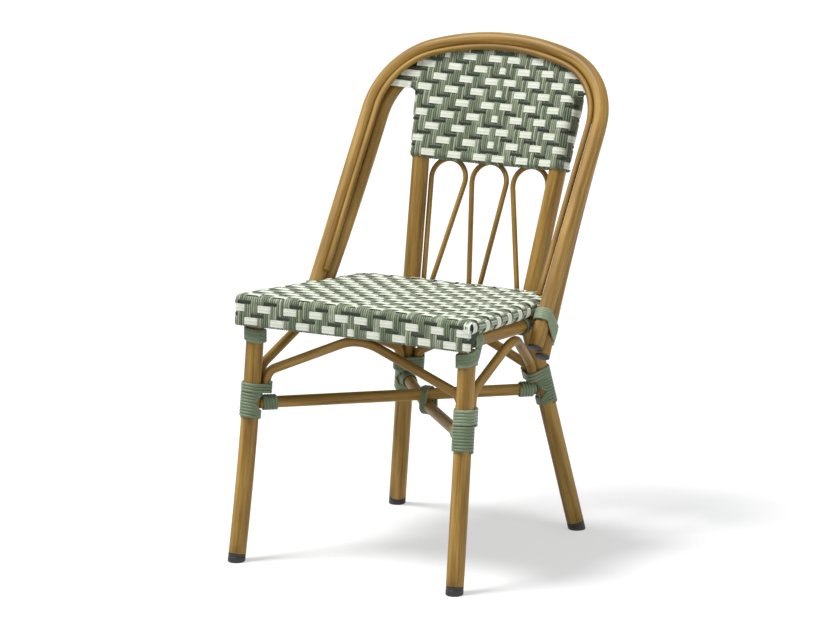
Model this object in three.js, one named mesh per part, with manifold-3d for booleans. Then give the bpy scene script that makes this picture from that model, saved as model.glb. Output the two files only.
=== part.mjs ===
// Rattan bistro chair: a bent tube frame, a woven seat and back, and wound bindings at the joints.
// Millimetres. X runs to the right as seen from the front, Y runs backwards, Z runs up from the floor.

import * as THREE from "three";
import { mergeVertices } from "three/addons/utils/BufferGeometryUtils.js";
import Module from "manifold-3d";

const wasm = await Module();
wasm.setup();

// General values
const touch = 0.3;
const slantRoom = 1.1;
const overrun = 20;
const bendStep = THREE.MathUtils.degToRad(15);

// Tube radii and the number of flats round each tube
const legTube = { radius: 15, flats: 16 };
const hoopTube = { radius: 13, flats: 16 };
const railTube = { radius: 12, flats: 14 };
const stretcherTube = { radius: 10, flats: 12 };
const archTube = { radius: 8, flats: 12 };
const seatTube = { radius: 8, flats: 12 };
const barTube = { radius: 6, flats: 10 };
const rodTube = { radius: 5, flats: 10 };
const loopTube = { radius: 4.5, flats: 8 };

// Binding strand: its radius, the advance of each turn, its sections and its loose fit on the tubes
const strand = { radius: 2.5, pitch: 5.6, flats: 5, stepsPerTurn: 12, looseness: 0.5 };

// Half of the seat's width at its front sets the places of the legs, the rails and the hoops
const seatHalfWidth = 236;

// Front leg: a shallow curve from its foot, pulled at half of the span, to its head.
// The insets are measured inwards from the half width of the seat.
const frontLeg = { footInset: 23, footY: 0, pullInset: 29.6, pullY: 37, headInset: 30.7, headY: 57.5, span: 424 };
const frontLegSteps = 6;

// Rear leg and back post, one tube with one bend
const rearLeg = { footInset: 54, footY: 483.8, bendInset: 119.8, bendY: 417.5, bendZ: 385.6, bendRadius: 100 };
const postSpreadShare = 0.0823;
const postLeanShare = 0.2973;
const postTopBelowRod = 17.3;

// Foot glide
const glideHeight = 13;

// Seat: the top surface falls towards the back by a share of the depth
const seatHeight = 455.4;
const seatFallShare = 0.06;
const seatFrontY = 30;
const seatSideY = 42;
const seatTaperShare = 0.105;
const seatRearY = 398;
const seatRearCrown = 6;
const seatFrontCorner = 14;
const seatRearCorner = 40;
const seatRearCrownRadius = 900;
const seatEdgeRound = 9;
const seatWrapHeight = 24;
const apronHeight = 51;
const apronReturn = 16;
const weaveThickness = 2.6;
const weaveFit = 0.4;

// Notch in the seat's wrap for the hoop binding
const hoopNotch = { frontY: 254, rearY: 302, roof: 8, inward: 7 };

// Seat frame under the weave
const sideFrameInset = 14.6;
const sideFrameCorner = 40;
const sideFrameRearInset = 11.5;
const frontFrameInset = 19;

// Rails below the seat frame
const frontRailDepth = 38;
const sideRail = { depth: 39, frontInset: 30, frontY: 72, taperShare: 0.063, rearY: 393.2, corner: 45 };

// Spacers that carry the seat frame on the rails
const spacerRadius = 5;
const sideSpacersY = [130, 335];
const frontSpacerInset = 86;

// Hoops: the plane of the front hoop leans back, measured from a base point beside the seat
const hoopPlane = { baseY: 300.4, baseZ: 455.8, lean: THREE.MathUtils.degToRad(32.9) };
const hoop = { inset: 9, cornerRadius: 135, crownRadius: 428, rise: 455, legEnd: -98 };
const rearHoop = { inset: 12.5, behind: 23.3, legSpread: 15.5, legGap: 26.4, legEnd: -103, legSteps: 5 };
const rod = { inset: 17.3, behind: -6.5, footAboveSeat: 12.7 };
const hoopCap = { thickness: 4, edge: 1.5 };

// Bars and loops of the back, in the plane of the posts
const backBarZ = 640;
const lowerBarZ = 417;
const loopRow = { clearOfPost: 21.6, between: 13.5, topBelowBar: 8.1, footBelowBar: 4 };
const loopFeet = { fromPost: 18.4, sideSpread: 13, middleSpread: 18 };

// Back weave
const sleeveBelowPostTop = 23;
const sleeveBottomZ = 632;
const sleeveThickness = 2.5;
const sheetThickness = 5;
const sheetColumns = 14;
const sheetRows = 3;
const ear = { firstShare: 0.7, lastShare: 0.93, rings: 4, overlap: 4, outerLeadShare: 0.04 };

// Brace arches between the legs
const archFit = 0.5;
const archFootBend = 28;
const rearArchFootBend = 20;
const archCrownBend = 95;
const frontJoint = { z: 290, bindTop: 304 };
const rearJoint = { z: 283, bindTop: 292 };
const archFootAboveStretcher = { front: 18.5, rear: 20.5 };
const frontArch = { rise: 33, crownY: 52, crownZ: 401.4, footAngle: THREE.MathUtils.degToRad(135) };
const sideArch = { frontRise: 40, rearRise: 25, crownInset: 38, crownY: 228, crownZ: 392 };
const rearArch = { rise: 17, crownY: 425, crownZ: 349 };

// Stretchers: heights where each one meets its legs
const upperStretcher = { frontZ: 268, rearZ: 255 };
const lowerStretcher = { frontZ: 258, rearZ: 246, bend: 300 };

// Bindings: where each one starts and how many turns it has
const legBindClearFrontZ = 22.5;
const legBindClearRearZ = 26;
const legTopBinding = { belowLegTop: 22, turns: 3.2 };
const railBinding = { startY: 80, turns: 3 };
const hoopBinding = { start: -63, turns: 4, looseness: 1.2 };
const stretcherBinding = { room: 0.6, turns: 4 };
const crossingBinding = { turns: 2, room: 1.3, looseness: 0.8 };

// Finishes
const finishes = {
  tube: { color: 0x9c7540, roughness: 0.42, metalness: 0.25 },
  cap: { color: 0x1c1a1c, roughness: 0.55, metalness: 0 },
  weave: { color: 0x93a58c, roughness: 0.7, metalness: 0 },
  strand: { color: 0x7f9a80, roughness: 0.6, metalness: 0 },
};

// Basic helpers

const vector = (x, y, z) => new THREE.Vector3(x, y, z);

function piece(name, geometry, finish) {
  const mesh = new THREE.Mesh(geometry, new THREE.MeshStandardMaterial(finishes[finish]));
  mesh.name = name;
  return mesh;
}

// A path through given points. Its tangents halve the turn at each point.
class Route extends THREE.Curve {
  constructor(points) {
    super();
    this.points = points;
    this.steps = points.length - 1;
  }

  getUtoTmapping(u) {
    return u;
  }

  getPoint(t, target = vector(0, 0, 0)) {
    return target.copy(this.points[Math.round(t * this.steps)]);
  }

  getTangent(t, target = vector(0, 0, 0)) {
    const index = Math.round(t * this.steps);
    const here = this.points[index];
    const before = this.points[Math.max(index - 1, 0)];
    const after = this.points[Math.min(index + 1, this.steps)];
    const arriving = here.clone().sub(before).normalize();
    const leaving = after.clone().sub(here).normalize();
    return target.copy(arriving).add(leaving).normalize();
  }
}

function tube(points, size, radius = size.radius) {
  const section = new THREE.Shape();
  section.absarc(0, 0, radius, 0, 2 * Math.PI);
  const route = new Route(points);
  const options = { steps: route.steps, curveSegments: size.flats / 2, extrudePath: route };
  return new THREE.ExtrudeGeometry(section, options);
}

// A tube whose flats clear a round tube by the touching gap; it cuts room for that tube
function roomFor(points, size) {
  return toSolid(tube(points, size, (size.radius + touch) / Math.cos(Math.PI / size.flats)));
}

// The points of one bend between two straight runs, from tangent point to tangent point
function bendPoints(before, corner, after, radius) {
  const arriving = corner.clone().sub(before).normalize();
  const leaving = after.clone().sub(corner).normalize();
  const turn = arriving.angleTo(leaving);
  const reach = radius * Math.tan(turn / 2);
  const start = corner.clone().addScaledVector(arriving, -reach);
  const side = leaving.clone().addScaledVector(arriving, -leaving.dot(arriving)).normalize();
  const steps = Math.max(2, Math.ceil(turn / bendStep));
  const points = [];
  for (let step = 0; step <= steps; step += 1) {
    const angle = (turn * step) / steps;
    const point = start.clone().addScaledVector(arriving, radius * Math.sin(angle));
    points.push(point.addScaledVector(side, radius * (1 - Math.cos(angle))));
  }
  return points;
}

// Straight runs joined by bends of the given radii, one for each inner corner
function bentPath(corners, radii) {
  const points = [corners[0]];
  radii.forEach((radius, index) => {
    points.push(...bendPoints(corners[index], corners[index + 1], corners[index + 2], radius));
  });
  points.push(corners[corners.length - 1]);
  return points;
}

// A closed solid through rings of equal count, each turning right-handed about the way onwards
function ringSolid(rings) {
  const count = rings[0].length;
  const positions = rings.flat().flatMap((point) => point.toArray());
  const faces = [];
  for (let ring = 0; ring < rings.length - 1; ring += 1) {
    for (let side = 0; side < count; side += 1) {
      const a = ring * count + side;
      const b = ring * count + ((side + 1) % count);
      faces.push(a, b, b + count, a, b + count, a + count);
    }
  }
  const last = (rings.length - 1) * count;
  for (let side = 1; side < count - 1; side += 1) {
    faces.push(0, side + 1, side);
    faces.push(last, last + side, last + side + 1);
  }
  const geometry = new THREE.BufferGeometry();
  geometry.setAttribute("position", new THREE.Float32BufferAttribute(positions, 3));
  geometry.setIndex(faces);
  geometry.computeVertexNormals();
  return geometry;
}

function toSolid(geometry) {
  const bare = geometry.clone();
  bare.deleteAttribute("normal");
  bare.deleteAttribute("uv");
  const merged = mergeVertices(bare);
  const vertProperties = new Float32Array(merged.attributes.position.array);
  const triVerts = new Uint32Array(merged.index.array);
  return new wasm.Manifold(new wasm.Mesh({ numProp: 3, vertProperties, triVerts }));
}

function fromSolid(solid) {
  const mesh = solid.getMesh();
  const geometry = new THREE.BufferGeometry();
  geometry.setAttribute("position", new THREE.Float32BufferAttribute(mesh.vertProperties, 3));
  geometry.setIndex(Array.from(mesh.triVerts));
  geometry.computeVertexNormals();
  return geometry;
}

function boxBetween(low, high) {
  const size = high.clone().sub(low);
  const centre = low.clone().add(high).multiplyScalar(0.5);
  return new THREE.BoxGeometry(size.x, size.y, size.z).translate(centre.x, centre.y, centre.z);
}

function towards(from, to, distance) {
  return from.clone().addScaledVector(to.clone().sub(from).normalize(), distance);
}

const mirrored = (points, side) => points.map((point) => vector(point.x * side, point.y, point.z));

// Places on the legs, right side; the left side mirrors them

function frontLegPoint(z) {
  const { footInset, footY, pullInset, pullY, headInset, headY, span } = frontLeg;
  const foot = vector(seatHalfWidth - footInset, footY, 0);
  const pull = vector(seatHalfWidth - pullInset, pullY, span / 2);
  const head = vector(seatHalfWidth - headInset, headY, span);
  return new THREE.QuadraticBezierCurve3(foot, pull, head).getPoint(z / span);
}

const rearBend = vector(seatHalfWidth - rearLeg.bendInset, rearLeg.bendY, rearLeg.bendZ);

function rearLegPoint(z) {
  const foot = vector(seatHalfWidth - rearLeg.footInset, rearLeg.footY, 0);
  return foot.lerp(rearBend, z / rearLeg.bendZ);
}

function postPoint(z) {
  const rise = z - rearBend.z;
  return rearBend.clone().add(vector(rise * postSpreadShare, rise * postLeanShare, rise));
}

// A frame on a leg: its centre, its axis upwards, and two directions across it
function legFrame(legPoint, z) {
  const centre = legPoint(z);
  const axis = legPoint(z + touch).sub(legPoint(z - touch)).normalize();
  const across = vector(1, 0, 0).addScaledVector(axis, -axis.x).normalize();
  const behind = axis.clone().cross(across);
  return { centre, axis, across, behind };
}

function besideLeg(frame, angle, along) {
  const reach = legTube.radius + archTube.radius + archFit;
  const point = frame.centre.clone().addScaledVector(frame.axis, along);
  point.addScaledVector(frame.across, reach * Math.cos(angle));
  return point.addScaledVector(frame.behind, reach * Math.sin(angle));
}

// The distance along a leg frame's axis that reaches a height
const alongTo = (frame, z) => (z - frame.centre.z) / frame.axis.z;

const frontFrame = legFrame(frontLegPoint, frontJoint.z);
const rearFrame = legFrame(rearLegPoint, rearJoint.z);
const behindLeg = Math.PI / 2;
const beforeLeg = -Math.PI / 2;
const inwards = Math.PI;

// Heights where the stretchers meet the legs of each side; 1 is the right side, -1 the left
const stretcherZ = {
  front: { 1: lowerStretcher.frontZ, "-1": upperStretcher.frontZ },
  rear: { 1: upperStretcher.rearZ, "-1": lowerStretcher.rearZ },
};

// Legs

function frontLegPoints() {
  const points = [];
  for (let step = 0; step <= frontLegSteps; step += 1) {
    const share = step / frontLegSteps;
    points.push(frontLegPoint(THREE.MathUtils.lerp(glideHeight + touch, frontLegTop(), share)));
  }
  return points;
}

const frontLegTube = (side) => tube(mirrored(frontLegPoints(), side), legTube);

function rearLegPath(topZ) {
  return bentPath([rearLegPoint(glideHeight + touch), rearBend, postPoint(topZ)], [rearLeg.bendRadius]);
}

function rearLegTube(side) {
  const whole = toSolid(tube(mirrored(rearLegPath(postTopZ()), side), legTube));
  const hoopRoom = roomFor(rearHoopPath(), hoopTube);
  return fromSolid(whole.subtract(hoopRoom).subtract(roomFor(rodPath(), rodTube)));
}

// A glide fills the foot from the flat floor face up to the square end of its leg
function footGlide(legPoint, side) {
  const frame = legFrame(legPoint, glideHeight);
  const floorRing = [];
  const topRing = [];
  for (let corner = 0; corner < legTube.flats; corner += 1) {
    const angle = (2 * Math.PI * corner) / legTube.flats;
    const out = frame.across.clone().multiplyScalar(Math.cos(angle));
    out.addScaledVector(frame.behind, Math.sin(angle));
    const top = frame.centre.clone().addScaledVector(out, legTube.radius);
    topRing.push(top);
    floorRing.push(top.clone().addScaledVector(frame.axis, -top.z / frame.axis.z));
  }
  const rings = [mirrored(floorRing, side), mirrored(topRing, side)];
  return ringSolid(side > 0 ? rings : rings.map((ring) => ring.reverse()));
}

// Seat surface and rails

const seatTopZ = (y) => seatHeight - seatFallShare * (y - seatSideY);
const seatSideX = (y) => seatHalfWidth - seatTaperShare * (y - seatSideY);
const sideRailFrontX = seatHalfWidth - sideRail.frontInset;
const sideRailX = (y) => sideRailFrontX - sideRail.taperShare * (y - sideRail.frontY);
const underSeat = (x, y, depth) => vector(x, y, seatTopZ(y) - depth);

// The height where a front leg ends, under the side rail
const frontLegTop = () => seatTopZ(frontLeg.headY) - sideRail.depth - railTube.radius - touch;

const frontRailY = seatFrontY + weaveThickness + weaveFit + railTube.radius;
const frontFrameY = seatFrontY + weaveThickness + weaveFit + seatTube.radius;
const seatFrameDepth = weaveThickness + weaveFit + seatTube.radius;

function crossTube(halfLength, y, depth, size) {
  const z = seatTopZ(y) - depth;
  return tube([vector(-halfLength, y, z), vector(halfLength, y, z)], size);
}

// A tube along both sides and the rear, open at the front
function sideAndRearTube(sideX, frontY, rearY, depth, corner, size) {
  const corners = [
    underSeat(sideX(frontY), frontY, depth),
    underSeat(sideX(rearY), rearY, depth),
    underSeat(-sideX(rearY), rearY, depth),
    underSeat(-sideX(frontY), frontY, depth),
  ];
  return tube(bentPath(corners, [corner, corner]), size);
}

function seatRailTube() {
  const frontY = frontRailY + railTube.radius + slantRoom;
  return sideAndRearTube(sideRailX, frontY, sideRail.rearY, sideRail.depth, sideRail.corner, railTube);
}

function seatFrameTube() {
  const frontY = frontFrameY + seatTube.radius + slantRoom;
  const rearY = seatRearY - sideFrameRearInset;
  const centreX = (y) => seatSideX(y) - sideFrameInset;
  return sideAndRearTube(centreX, frontY, rearY, seatFrameDepth, sideFrameCorner, seatTube);
}

// A spacer fills the way between a rail and the seat frame, and fits round both
function spacer(railCentre, frameCentre, railSolid, frameSolid) {
  const steps = new THREE.LineCurve3(railCentre, frameCentre).getPoints(1);
  const plug = toSolid(tube(steps, { radius: spacerRadius, flats: barTube.flats }));
  return fromSolid(plug.subtract(railSolid).subtract(frameSolid));
}

function straightRoom(from, to, size) {
  const ahead = towards(to, from, -overrun);
  return roomFor([towards(from, to, -overrun), ahead], size);
}

function sideSpacer(y, side) {
  const railAt = (place) => underSeat(sideRailX(place), place, sideRail.depth);
  const frameAt = (place) => underSeat(seatSideX(place) - sideFrameInset, place, seatFrameDepth);
  const near = (at, size) => straightRoom(...mirrored([at(y - overrun), at(y + overrun)], side), size);
  const [railCentre, frameCentre] = mirrored([railAt(y), frameAt(y)], side);
  return spacer(railCentre, frameCentre, near(railAt, railTube), near(frameAt, seatTube));
}

function frontSpacer(side) {
  const railAt = (x) => underSeat(x, frontRailY, frontRailDepth);
  const frameAt = (x) => underSeat(x, frontFrameY, seatFrameDepth);
  const x = side * (seatHalfWidth - frontSpacerInset);
  const near = (at, size) => straightRoom(at(x - overrun), at(x + overrun), size);
  return spacer(railAt(x), frameAt(x), near(railAt, railTube), near(frameAt, seatTube));
}

// Seat weave: a thin tray that rolls over the frame, deeper at the front

function seatOutline(inset) {
  const front = seatFrontY + inset;
  const rear = seatRearY - inset;
  const crown = seatRearY + seatRearCrown - inset;
  const corners = [
    vector(0, front, 0),
    vector(seatSideX(front) - inset, front, 0),
    vector(seatSideX(rear) - inset, rear, 0),
    vector(0, crown, 0),
    vector(-seatSideX(rear) + inset, rear, 0),
    vector(-seatSideX(front) + inset, front, 0),
    vector(0, front, 0),
  ];
  const frontCorner = seatFrontCorner - inset;
  const rearCorner = seatRearCorner - inset;
  const radii = [frontCorner, rearCorner, seatRearCrownRadius, rearCorner, frontCorner];
  const points = bentPath(corners, radii).slice(0, -1);
  return new THREE.Shape(points.map((point) => new THREE.Vector2(point.x, point.y)));
}

// A slab whose top face is at zero and whose edges are rounded at the top and the bottom
function roundedSlab(inset, height, round) {
  const options = {
    depth: height - 2 * round,
    bevelThickness: round,
    bevelSize: round,
    bevelOffset: -round,
    bevelSegments: 3,
  };
  const slab = new THREE.ExtrudeGeometry(seatOutline(inset), options);
  return slab.translate(0, 0, round - height);
}

function seatWeaveTray() {
  const deep = apronHeight + overrun;
  const outer = toSolid(roundedSlab(0, deep, seatEdgeRound));
  const pocket = roundedSlab(weaveThickness, deep, seatEdgeRound - weaveThickness);
  const inner = toSolid(pocket.translate(0, 0, -weaveThickness));
  const wide = seatHalfWidth + overrun;
  const below = boxBetween(vector(-wide, 0, -deep - overrun), vector(wide, seatRearY + overrun, -apronHeight));
  const sideStart = seatFrontY + apronReturn;
  const sideLow = vector(-wide, sideStart, -deep - overrun);
  const sides = boxBetween(sideLow, vector(wide, seatRearY + overrun, -seatWrapHeight));
  let tray = outer.subtract(inner).subtract(toSolid(below)).subtract(toSolid(sides));
  for (const side of [-1, 1]) {
    const innerX = seatSideX(hoopNotch.rearY) - hoopNotch.inward;
    const low = vector(Math.min(side * innerX, side * wide), hoopNotch.frontY, -deep);
    const high = vector(Math.max(side * innerX, side * wide), hoopNotch.rearY, -hoopNotch.roof);
    tray = tray.subtract(toSolid(boxBetween(low, high)));
  }
  const geometry = fromSolid(tray).translate(0, -seatSideY, 0);
  return geometry.rotateX(-Math.atan(seatFallShare)).translate(0, seatSideY, seatHeight);
}

// Hoops: a point is given across, along and behind the plane of the front hoop

function onHoopPlane(x, along, behind) {
  const { baseY, baseZ, lean } = hoopPlane;
  const y = baseY + along * Math.sin(lean) + behind * Math.cos(lean);
  return vector(x, y, baseZ + along * Math.cos(lean) - behind * Math.sin(lean));
}

const hoopHalfWidth = seatHalfWidth - hoop.inset;
const cornerX = hoopHalfWidth - hoop.cornerRadius;
const crownBase = hoop.rise - hoop.crownRadius;
const crownHalfAngle = Math.asin(cornerX / (hoop.crownRadius - hoop.cornerRadius));
const cornerAlong = crownBase + (hoop.crownRadius - hoop.cornerRadius) * Math.cos(crownHalfAngle);

// The arch from the right shoulder to the left one, at an inset from the front hoop
function archPoints(inset, behind) {
  const points = [];
  const cornerSweep = Math.PI / 2 - crownHalfAngle;
  const cornerSteps = Math.ceil(cornerSweep / bendStep);
  for (let step = 0; step < cornerSteps; step += 1) {
    const angle = (cornerSweep * step) / cornerSteps;
    const radius = hoop.cornerRadius - inset;
    const x = cornerX + radius * Math.cos(angle);
    points.push(onHoopPlane(x, cornerAlong + radius * Math.sin(angle), behind));
  }
  const crownSteps = Math.ceil(crownHalfAngle / bendStep);
  for (let step = 0; step < crownSteps; step += 1) {
    const angle = crownHalfAngle * (1 - step / crownSteps);
    const radius = hoop.crownRadius - inset;
    points.push(onHoopPlane(radius * Math.sin(angle), crownBase + radius * Math.cos(angle), behind));
  }
  const top = onHoopPlane(0, hoop.rise - inset, behind);
  return [...points, top, ...mirrored(points, -1).reverse()];
}

function hoopPath(inset, behind, legPoints) {
  return [...legPoints, ...archPoints(inset, behind), ...mirrored(legPoints, -1).reverse()];
}

function frontHoopPath() {
  return hoopPath(0, 0, [onHoopPlane(hoopHalfWidth, hoop.legEnd, 0)]);
}

// How far the rear hoop's leg lies inside the front one; it drifts outwards as it goes down
function rearHoopInset(along) {
  const drop = (cornerAlong - along) / (cornerAlong - rearHoop.legEnd);
  return rearHoop.inset - rearHoop.legSpread * drop * drop;
}

function rearHoopLegPoint(along) {
  const inset = rearHoopInset(along);
  const behind = Math.sqrt(rearHoop.legGap * rearHoop.legGap - inset * inset);
  return onHoopPlane(hoopHalfWidth - inset, along, behind);
}

function rearHoopPath() {
  const legPoints = [];
  for (let step = 0; step < rearHoop.legSteps; step += 1) {
    const share = step / rearHoop.legSteps;
    legPoints.push(rearHoopLegPoint(THREE.MathUtils.lerp(rearHoop.legEnd, cornerAlong, share)));
  }
  return hoopPath(rearHoop.inset, rearHoop.behind, legPoints);
}

function rodPath() {
  const { baseY, baseZ, lean } = hoopPlane;
  const foot = (seatTopZ(baseY) + rod.footAboveSeat - baseZ + rod.behind * Math.sin(lean)) / Math.cos(lean);
  return hoopPath(rod.inset, rod.behind, [onHoopPlane(hoopHalfWidth - rod.inset, foot, rod.behind)]);
}

// A cap closes one end of a hoop and faces out of the tube
function hoopCapSolid(path, side) {
  const { thickness, edge } = hoopCap;
  const [end, next] = side > 0 ? path : [...path].reverse();
  const radius = hoopTube.radius;
  const profile = [
    new THREE.Vector2(0, touch),
    new THREE.Vector2(radius, touch),
    new THREE.Vector2(radius, thickness - edge),
    new THREE.Vector2(radius - edge, thickness),
    new THREE.Vector2(0, thickness),
  ];
  const cap = new THREE.LatheGeometry(profile, hoopTube.flats);
  const outwards = end.clone().sub(next).normalize();
  const turn = new THREE.Quaternion().setFromUnitVectors(vector(0, 1, 0), outwards);
  return cap.applyQuaternion(turn).translate(end.x, end.y, end.z);
}

// Bars and loops of the back

const loopsBehind = barTube.radius + loopTube.radius + touch;
const postDirection = postPoint(backBarZ).sub(rearBend).setX(0).normalize();
const postNormal = vector(1, 0, 0).cross(postDirection).negate();

// A point in the posts' plane, moved behind it
function onPostPlane(x, z, behind) {
  const base = postPoint(z).setX(x);
  return base.addScaledVector(postNormal, behind);
}

function postRoom(side) {
  return roomFor(mirrored(rearLegPath(postTopZ() + overrun), side), legTube);
}

function barBetweenPosts(z) {
  const halfLength = postPoint(z).x;
  const bar = toSolid(tube([onPostPlane(-halfLength, z, 0), onPostPlane(halfLength, z, 0)], barTube));
  return fromSolid(bar.subtract(postRoom(1)).subtract(postRoom(-1)));
}

// The height where a post ends, under the rod
function postTopZ() {
  const x = postPoint(backBarZ).x + (hoop.rise - hoop.cornerRadius) * postSpreadShare * postLeanShare;
  return onHoopPlane(x, archAlong(x, rod.inset), rod.behind).z - postTopBelowRod;
}

// Where a line from a foot touches a circle about the origin; side 1 keeps the circle on the left
function tangentAngle(foot, radius, side) {
  const swing = Math.acos(radius / foot.length());
  return Math.atan2(foot.y, foot.x) + side * swing;
}

// Three equal circles fill the width between the posts
const loopReach = postPoint(backBarZ).x - loopRow.clearOfPost;
const loopRadius = (loopReach - loopRow.between) / 3;
const loopSpacing = loopReach - loopRadius;
const loopFootZ = lowerBarZ - loopRow.footBelowBar;

// A drop-shaped loop: two legs rise from their feet and run round one circle
function backLoop(centreX, rightFootX, leftFootX) {
  const rise = postDirection.z;
  const centreZ = backBarZ - loopRow.topBelowBar - loopRadius * rise;
  const footDrop = (loopFootZ - centreZ) / rise;
  const rightFoot = new THREE.Vector2(rightFootX - centreX, footDrop);
  const leftFoot = new THREE.Vector2(leftFootX - centreX, footDrop);
  const from = tangentAngle(rightFoot, loopRadius, 1);
  const to = tangentAngle(leftFoot, loopRadius, -1) + 2 * Math.PI;
  const steps = Math.ceil((to - from) / bendStep);
  const flat = [rightFoot];
  for (let step = 0; step <= steps; step += 1) {
    const angle = from + ((to - from) * step) / steps;
    flat.push(new THREE.Vector2(Math.cos(angle), Math.sin(angle)).multiplyScalar(loopRadius));
  }
  flat.push(leftFoot);
  const place = (point) => onPostPlane(centreX + point.x, centreZ + point.y * rise, loopsBehind);
  return tube(flat.map(place), loopTube);
}

// Back weave: a sheet from the bar to the rod, a sleeve on each post, and an ear out to the hoop

// The along value of an arch at a place across, at an inset from the front hoop
function archAlong(x, inset) {
  const crown = hoop.crownRadius - inset;
  const corner = hoop.cornerRadius - inset;
  const across = Math.abs(x);
  if (across < crown * Math.sin(crownHalfAngle)) {
    return crownBase + Math.sqrt(crown * crown - across * across);
  }
  return cornerAlong + Math.sqrt(corner * corner - (across - cornerX) * (across - cornerX));
}

function sheetPoint(shareAcross, shareUp) {
  const bottomX = postPoint(backBarZ).x * shareAcross;
  const topX = postPoint(postTopZ()).x * shareAcross;
  const bottom = onPostPlane(bottomX, backBarZ, 0);
  return bottom.lerp(onHoopPlane(topX, archAlong(topX, rod.inset), rod.behind), shareUp);
}

// Each ring runs up the front of the sheet and down its back
function backSheet() {
  const half = vector(0, sheetThickness / 2, 0);
  const rings = [];
  for (let column = 0; column <= sheetColumns; column += 1) {
    const across = (2 * column) / sheetColumns - 1;
    const rows = [];
    for (let row = 0; row <= sheetRows; row += 1) {
      rows.push(sheetPoint(across, row / sheetRows));
    }
    const front = rows.map((point) => point.clone().sub(half));
    const back = rows.map((point) => point.clone().add(half));
    rings.push([...back.reverse(), ...front].reverse());
  }
  return ringSolid(rings);
}

function backEar(side) {
  const half = vector(0, sheetThickness / 2, 0);
  const edgeOf = (share) => sheetPoint(1, share);
  const rings = [];
  for (let ring = 0; ring <= ear.rings; ring += 1) {
    const share = THREE.MathUtils.lerp(ear.firstShare, ear.lastShare, ring / ear.rings);
    const inner = edgeOf(share).sub(vector(ear.overlap, 0, 0));
    const outer = rodPoint(edgeOf(share + ear.outerLeadShare).z);
    const corners = [inner.clone().sub(half), outer.clone().sub(half), outer.clone().add(half), inner.add(half)];
    rings.push(side > 0 ? corners : mirrored(corners, side).reverse());
  }
  return ringSolid(rings);
}

// The rod's centre at a height, on the right shoulder
function rodPoint(z) {
  const { baseZ, lean } = hoopPlane;
  const along = (z - baseZ + rod.behind * Math.sin(lean)) / Math.cos(lean);
  const radius = hoop.cornerRadius - rod.inset;
  const above = along - cornerAlong;
  return onHoopPlane(cornerX + Math.sqrt(radius * radius - above * above), along, rod.behind);
}

function backWeavePanel() {
  const edgeX = postPoint(backBarZ).x;
  const barLine = [onPostPlane(-edgeX, backBarZ, 0), onPostPlane(edgeX, backBarZ, 0)];
  const sleeve = (line, size) => toSolid(tube(line, size, size.radius + 2 * touch + sleeveThickness));
  let panel = toSolid(backSheet()).add(sleeve(barLine, barTube));
  for (const side of [-1, 1]) {
    const sleeveTopZ = postTopZ() - sleeveBelowPostTop;
    const postLine = mirrored([postPoint(sleeveBottomZ), postPoint(sleeveTopZ)], side);
    panel = panel.add(sleeve(postLine, legTube)).add(toSolid(backEar(side)));
  }
  panel = panel.subtract(postRoom(1)).subtract(postRoom(-1)).subtract(roomFor(barLine, barTube));
  return fromSolid(panel.subtract(roomFor(rodPath(), rodTube)));
}

// Brace arches

function frontArchTube() {
  const foot = (side, along) => mirrored([besideLeg(frontFrame, frontArch.footAngle, along)], side)[0];
  const bottom = (side) => foot(side, alongTo(frontFrame, stretcherZ.front[side] + archFootAboveStretcher.front));
  const crown = vector(0, frontArch.crownY, frontArch.crownZ);
  const corners = [bottom(1), foot(1, frontArch.rise), crown, foot(-1, frontArch.rise), bottom(-1)];
  return tube(bentPath(corners, [archFootBend, archCrownBend, archFootBend]), archTube);
}

function rearArchTube() {
  const foot = (side, along) => mirrored([besideLeg(rearFrame, inwards, along)], side)[0];
  const bottom = (side) => foot(side, alongTo(rearFrame, stretcherZ.rear[side] + archFootAboveStretcher.rear));
  const crown = vector(0, rearArch.crownY, rearArch.crownZ);
  const corners = [bottom(1), foot(1, rearArch.rise), crown, foot(-1, rearArch.rise), bottom(-1)];
  return tube(bentPath(corners, [rearArchFootBend, archCrownBend, rearArchFootBend]), archTube);
}

function sideArchTube(side) {
  const frontBottom = alongTo(frontFrame, stretcherZ.front[side] + archFootAboveStretcher.front);
  const rearBottom = alongTo(rearFrame, stretcherZ.rear[side] + archFootAboveStretcher.rear);
  const corners = [
    besideLeg(frontFrame, behindLeg, frontBottom),
    besideLeg(frontFrame, behindLeg, sideArch.frontRise),
    vector(seatHalfWidth - sideArch.crownInset, sideArch.crownY, sideArch.crownZ),
    besideLeg(rearFrame, beforeLeg, sideArch.rearRise),
    besideLeg(rearFrame, beforeLeg, rearBottom),
  ];
  const points = bentPath(corners, [archFootBend, archCrownBend, archFootBend]);
  return tube(mirrored(points, side), archTube);
}

// Stretchers: the upper one runs from the left front leg to the right rear leg

function stretcherEnds(sizes, frontSide) {
  const front = mirrored([frontLegPoint(sizes.frontZ)], frontSide)[0];
  const rear = mirrored([rearLegPoint(sizes.rearZ)], -frontSide)[0];
  return { front, rear };
}

const upperEnds = stretcherEnds(upperStretcher, -1);
const lowerEnds = stretcherEnds(lowerStretcher, 1);

// The place where the upper stretcher crosses the middle of the chair
function crossingPoint() {
  const share = upperEnds.front.x / (upperEnds.front.x - upperEnds.rear.x);
  return upperEnds.front.clone().lerp(upperEnds.rear, share);
}

const lowerMiddle = crossingPoint().sub(vector(0, 0, 2 * stretcherTube.radius + 2 * touch));

// A stretcher runs between two leg axes, and its ends are cut to fit round the legs
function fittedStretcher(points, frontSide) {
  const frontLegRoom = roomFor(mirrored(frontLegPoints(), frontSide), legTube);
  const solid = toSolid(tube(points, stretcherTube));
  return fromSolid(solid.subtract(frontLegRoom).subtract(postRoom(-frontSide)));
}

function upperStretcherTube() {
  return fittedStretcher([upperEnds.front, upperEnds.rear], -1);
}

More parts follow.
